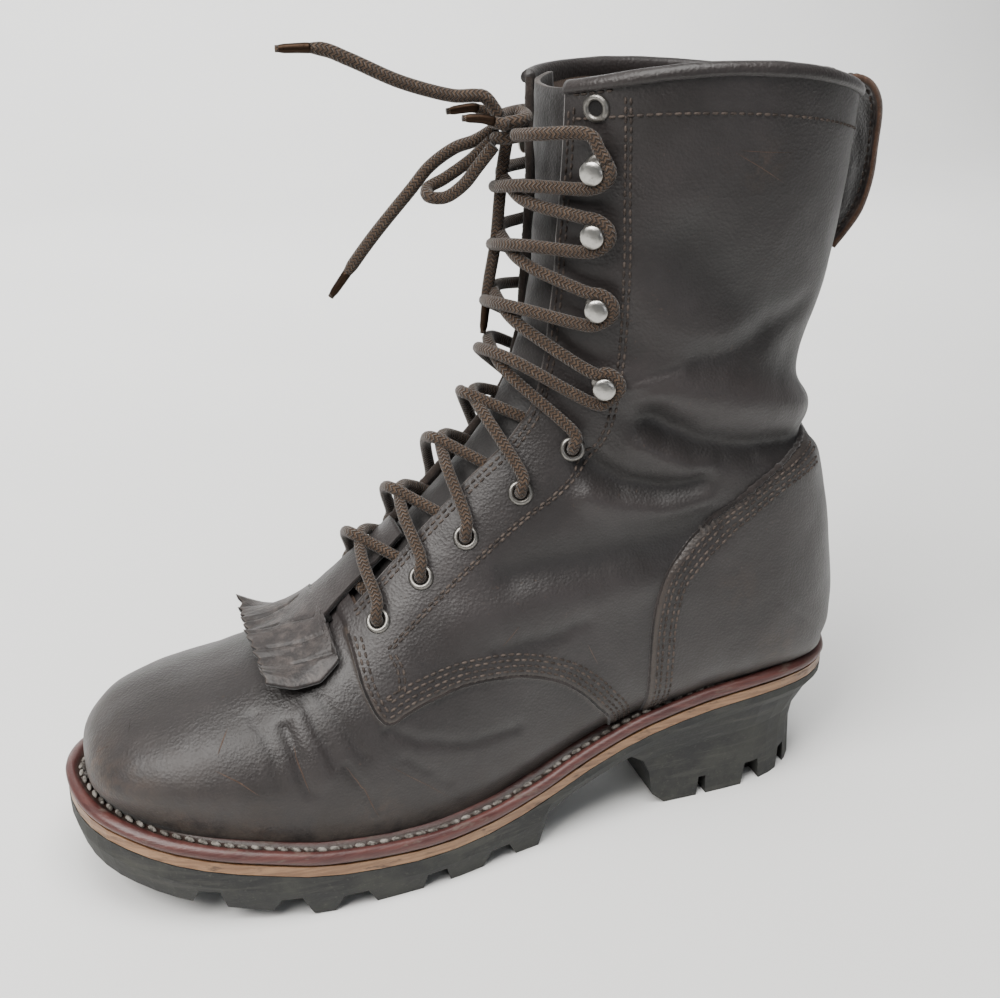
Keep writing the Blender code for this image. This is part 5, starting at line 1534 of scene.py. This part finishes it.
def dress_nodes():
    """The sole's plain layers stay the solids, with small rounded edges."""
    for name, surface, width in (
        ("outsole", RUBBER, 0.0009),
        ("midsole", TAN_LAYER, 0.0004),
        ("insole", BOARD, 0.0004),
    ):
        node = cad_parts[name]
        node.data.materials.clear()
        node.data.materials.append(surface)
        bevel = node.modifiers.new("rounded", "BEVEL")
        bevel.width = width
        bevel.segments = 2
        bevel.limit_method = "ANGLE"
        bevel.angle_limit = math.radians(38)
        bevel.harden_normals = True
        node.data.shade_smooth()


def turned(profile, point, normal, sides=28):
    """Points of a profile of radius and height in mm, turned about a normal."""
    a = unit(np.cross(normal, (0, 0, 1)))
    b = np.cross(normal, a)
    points = []
    for r, h in profile:
        radius = max(r * MM, 1e-5)
        points += oval(point + normal * h * MM, a, b, radius, radius, sides)
    return points, sides


# Turned fittings: radius and height over the last, in mm
EYELET_PROFILE = [
    (2.4, -4.0), (2.4, 1.2), (2.6, 1.9), (3.1, 2.3), (3.7, 2.35), (4.2, 2.1), (4.6, 1.6),
    (4.7, 1.0),
]
# A disc across each eyelet's hole, as painted shadow
EYELET_SHADOW_DISC = [
    (2.5, 1.5), (0.0, 1.45),
]
HOOK_BASE = [
    (0.0, 1.6), (4.9, 1.3), (5.0, 1.9), (4.6, 2.4), (3.4, 2.6), (1.9, 2.6), (1.5, 3.2),
    (1.4, 8.6),
]
HOOK_CAP = [
    (1.4, 7.8), (3.5, 7.9), (4.0, 8.2), (4.1, 8.7), (3.7, 9.2), (2.4, 9.5), (0.0, 9.6),
]


def joined_turnings(name, rows, profile, surface, nodes):
    points, faces = [], []
    for u, share in rows:
        for side in (1, -1):
            point, normal, _ = place(u, share * LAST_HALF_WIDTH, side)
            more, sides = turned(profile, point, normal)
            faces += ring_faces(len(profile), sides, len(points))
            points += more
    return mesh_piece(name, points, faces, surface, nodes)


def build_fittings():
    words = ("outer", "inner")
    eyelets = [f"eyelet_{word}_{k}" for k in range(1, 7) for word in words]
    hooks = [f"hook_{word}_{k}" for k in range(1, 5) for word in words]
    joined_turnings("eyelet_rings", EYELET_ROWS, EYELET_PROFILE, DULL_NICKEL, eyelets)
    # Dark discs in the eyelets' holes, as painted shadow
    joined_turnings("eyelet_holes", EYELET_ROWS, EYELET_SHADOW_DISC, HOLE_SHADOW, eyelets)
    joined_turnings("hook_bases", HOOK_ROWS, HOOK_BASE, DULL_NICKEL, hooks)
    joined_turnings("hook_caps", HOOK_ROWS, HOOK_CAP, NICKEL, hooks)


build_welt()
dress_nodes()
build_fittings()


# Laces

LACE_STOPS = [(u, share * LAST_HALF_WIDTH, False) for u, share in EYELET_ROWS if u < 20]
LACE_STOPS += [(u, share * LAST_HALF_WIDTH, True) for u, share in HOOK_ROWS]


def spot(u, wide, lift):
    """A point at a signed half width from the middle, lifted off the last."""
    here, normal, _ = place(u, max(abs(wide), 0.0006), 1 if wide >= 0 else -1)
    return here + normal * lift


# A strand's points at a stop: out, away from the throat and toward the collar, in mm
EYELET_ROUTE = [
    (-3.5, 0, 0), (2.2, 0, 0), (5.0, -1.2, 1.6), (5.2, -5.2, 5.2),
]
HOOK_ROUTE = [
    (5.0, -5.0, -6.0), (5.6, 1.0, -5.0), (5.6, 4.5, -2.6), (5.6, 5.4, 0), (5.6, 4.5, 2.6),
    (5.6, 1.0, 5.0), (5.0, -5.0, 6.0),
]
FIRST_TAIL = [(-6.0, -4.0, 0)]
RISER_ROUTE = [
    (5.6, 4.5, 2.6), (5.6, 2.2, 6.6), (5.6, -2.0, 12.0),
]
LAST_HOOK_POINTS = 5


def around(stop, side, route):
    """A route's points about an eyelet or hook."""
    u, wide, _ = stop
    point, normal, up = place(u, wide, side)
    across = np.cross(normal, up)
    across *= math.copysign(1, across[1] * side) / np.linalg.norm(across)
    return [point + (normal * out + across * away + up * rise) * MM for out, away, rise in route]


def crossing(stop, following, side, over):
    """Points from one stop over the tongue to the next, on the other side."""
    u, wide, hook = stop
    next_u, next_wide, next_hook = following
    reach = next_u - u
    slack = 0.0026 if hook else 0.0010
    edge = lookup(THROAT_ROWS, next_u) * LAST_HALF_WIDTH
    points = [
        spot(u + 0.34 * reach, side * wide * 0.42, 0.0068 + slack + over * 0.4),
        spot(u + 0.50 * reach, 0.0, 0.0078 + slack + over),
    ]
    if next_hook:
        return points + [spot(u + 0.66 * reach, -side * next_wide * 0.42, 0.0068 + slack + over * 0.4)]
    return points + [
        spot(u + 0.62 * reach, -side * edge * 0.42, 0.0050),
        spot(u + 0.76 * reach, -side * edge * 0.86, 0.0002),
        spot(u + 0.92 * reach, -side * (edge + 0.0040), -0.0040),
    ]


def strand(side, parity):
    """One strand up the throat: through the eyelets from inside, then round the hooks."""
    points = around(LACE_STOPS[0], side, FIRST_TAIL)
    for index, stop in enumerate(LACE_STOPS[:-1]):
        over = 0.0022 if (index + parity) % 2 else -0.0018
        points += around(stop, side, HOOK_ROUTE if stop[2] else EYELET_ROUTE)
        points += crossing(stop, LACE_STOPS[index + 1], side, over)
        side = -side
    return points + around(LACE_STOPS[-1], side, HOOK_ROUTE[:LAST_HOOK_POINTS])


def lace_line(points):
    return smooth_line(np.array(points), 0.0011)


def build_crossings():
    u, wide, _ = LACE_STOPS[0]
    bar = [spot(u, share * wide, lift) for share, lift in ((1, -0.004), (0.6, -0.0030))]
    bar += [spot(u - 0.1, 0.0, 0.0012)]
    bar += [spot(u, share * wide, lift) for share, lift in ((-0.6, -0.0030), (-1, -0.004))]
    paths = [lace_line(strand(1, 0)), lace_line(strand(-1, 1)), lace_line(bar)]
    cord_piece("lace_strands", paths, LACE_RADIUS, BRAID, ("lace_crossings",))


def aglet(name, path):
    """A dark tip over a cord's last centimetre."""
    run = run_of(path)
    tip = at_runs(path, np.linspace(run[-1] - 0.011, run[-1] - 0.0002, 14))
    size = np.interp(np.linspace(0, 1, 14), [0, 0.08, 0.8, 1.0], [0.74, 0.76, 0.66, 0.42])
    return cord_piece(name, [tip], LACE_RADIUS * size, TIP)


def knot_path():
    turns = np.linspace(0, KNOT_TURNS, 90)
    angles = 2 * math.pi * turns
    wound = [
        KNOT_RADIUS * np.cos(angles),
        KNOT_RADIUS * 1.15 * np.sin(angles),
        KNOT_PITCH * (turns - KNOT_TURNS / 2),
    ]
    return np.column_stack(wound) + KNOT_CENTRE + ORIGIN


def riser_path(side):
    """From the top hook to the knot."""
    points = around(LACE_STOPS[-1], side, RISER_ROUTE)
    end = np.array(KNOT_CENTRE) + ORIGIN + (0.002, side * KNOT_REACH, -0.0015)
    middle = (points[-1] + end) / 2 + (0.004, side * 0.001, 0.0005)
    return lace_line(points + [middle, end])


def build_loose_laces():
    lines = {name: smooth_line(np.array(points) + ORIGIN, 0.0012) for name, points in LOOSE_LACES.items()}
    pieces = {"lace_knot": cord_piece("lace_knot_wrap", [knot_path()], LACE_RADIUS, BRAID, ("lace_knot",))}
    thin = {}
    for name, line in lines.items():
        left = run_of(line)[-1] - run_of(line)
        thin[name] = np.interp(left, [0.0, 0.010, 0.014], [0.5, 0.66, 1.0]) if "end" in name else 1.0
    lines["lace_riser_outer"] = riser_path(1)
    lines["lace_riser_inner"] = riser_path(-1)
    for name, line in lines.items():
        radius = LACE_RADIUS * thin.get(name, 1.0)
        pieces[name] = cord_piece(name + "_braid", [line], radius, BRAID, (name,))
    tips = {name: aglet(name + "_tip", lines[name]) for name in lines if "end" in name}
    with_long = [tips["lace_end_long"], pieces["lace_knot"]]
    for group in (pieces, tips):
        with_long += [group["lace_end_short"], group["lace_end_tipped"]]


build_crossings()
build_loose_laces()


# Floor, light and camera


FLOOR_FRONT = 0.42
FLOOR_BACK = -1.2
FLOOR_HALF_WIDTH = 3.0
FLOOR_BEND = 0.5
WALL_TOP = 3.2
FLOOR_COLOUR = (0.80, 0.80, 0.79)


def floor_surface():
    s = Surface("pale_floor")
    return s.finish(s.mix(s.band(s.noise(3, 2), 0.3, 0.7), FLOOR_COLOUR, shade(FLOOR_COLOUR, 0.97)), 0.85)


def build_stage():
    """A plain floor that bends up into a wall."""
    rows = [(FLOOR_FRONT, 0.0), (FLOOR_BACK, 0.0)]
    for k in range(1, 13):
        angle = math.radians(90 * k / 12)
        rows.append((FLOOR_BACK - FLOOR_BEND * math.sin(angle), FLOOR_BEND * (1 - math.cos(angle))))
    rows.append((FLOOR_BACK - FLOOR_BEND, WALL_TOP))
    points = [(side * FLOOR_HALF_WIDTH, y, z) for y, z in rows for side in (-1, 1)]
    faces = [(2 * i, 2 * i + 1, 2 * i + 3, 2 * i + 2) for i in range(len(rows) - 1)]
    mesh = bpy.data.meshes.new("floor")
    mesh.from_pydata(points, [], faces)
    mesh.shade_smooth()
    mesh.materials.append(floor_surface())
    floor = bpy.data.objects.new("floor", mesh)
    bpy.context.scene.collection.objects.link(floor)


def area_light(name, place_at, target, size, power, colour):
    data = bpy.data.lights.new(name, "AREA")
    data.shape = "RECTANGLE"
    data.size, data.size_y = size
    data.energy = power
    data.color = colour
    item = bpy.data.objects.new(name, data)
    item.location = place_at
    item.rotation_euler = (Vector(target) - Vector(place_at)).to_track_quat("-Z", "Y").to_euler()
    bpy.context.scene.collection.objects.link(item)


# Name, place, target, width and height, power and colour
LIGHTS = [
    ("window", (1.05, 0.55, 1.20), (0.12, 0, 0.10), (0.9, 0.7), 33, (1.0, 0.98, 0.95)),
    ("ceiling", (0.15, 0.30, 1.35), (0.12, 0, 0.1), (0.9, 0.8), 24, (1.0, 0.99, 0.97)),
    ("room", (-0.35, 1.5, 0.36), (0.02, 0, 0.26), (0.9, 0.4), 3.0, (0.93, 0.96, 1.0)),
    ("backdrop", (0.1, -0.75, 1.0), (0.1, -1.75, 0.1), (2.6, 0.5), 32, (1.0, 1.0, 1.0)),
]
SKY_COLOUR = (0.86, 0.90, 0.95, 1)
SKY_STRENGTH = 0.15


def build_light():
    world = bpy.data.worlds.new("room")
    bpy.context.scene.world = world
    world.use_nodes = True
    sky = world.node_tree.nodes["Background"]
    sky.inputs["Color"].default_value = SKY_COLOUR
    sky.inputs["Strength"].default_value = SKY_STRENGTH
    for light in LIGHTS:
        area_light(*light)


CAMERA_PLACE = (0.2525, 0.445, 0.341)
CAMERA_YAW = math.radians(19.0)
CAMERA_PITCH = math.radians(24.0)
CAMERA_ROLL = math.radians(1.1)
CAMERA_FOCUS_PIXELS = 1361
PICTURE_PIXELS = 1000
SENSOR = 36.0


def build_camera():
    data = bpy.data.cameras.new("camera")
    data.sensor_width = SENSOR
    data.lens = CAMERA_FOCUS_PIXELS * SENSOR / PICTURE_PIXELS
    data.clip_start = 0.01
    item = bpy.data.objects.new("camera", data)
    level = math.cos(CAMERA_PITCH)
    ahead = Vector((-math.sin(CAMERA_YAW) * level, -math.cos(CAMERA_YAW) * level, -math.sin(CAMERA_PITCH)))
    right = ahead.cross(Vector((0, 0, 1))).normalized()
    up = right.cross(ahead)
    turned_right = right * math.cos(CAMERA_ROLL) + up * math.sin(CAMERA_ROLL)
    turned_up = up * math.cos(CAMERA_ROLL) - right * math.sin(CAMERA_ROLL)
    axes = Matrix((turned_right, turned_up, -ahead)).transposed()
    item.matrix_world = Matrix.Translation(CAMERA_PLACE) @ axes.to_4x4()
    bpy.context.scene.collection.objects.link(item)
    bpy.context.scene.camera = item


build_stage()
build_light()
build_camera()
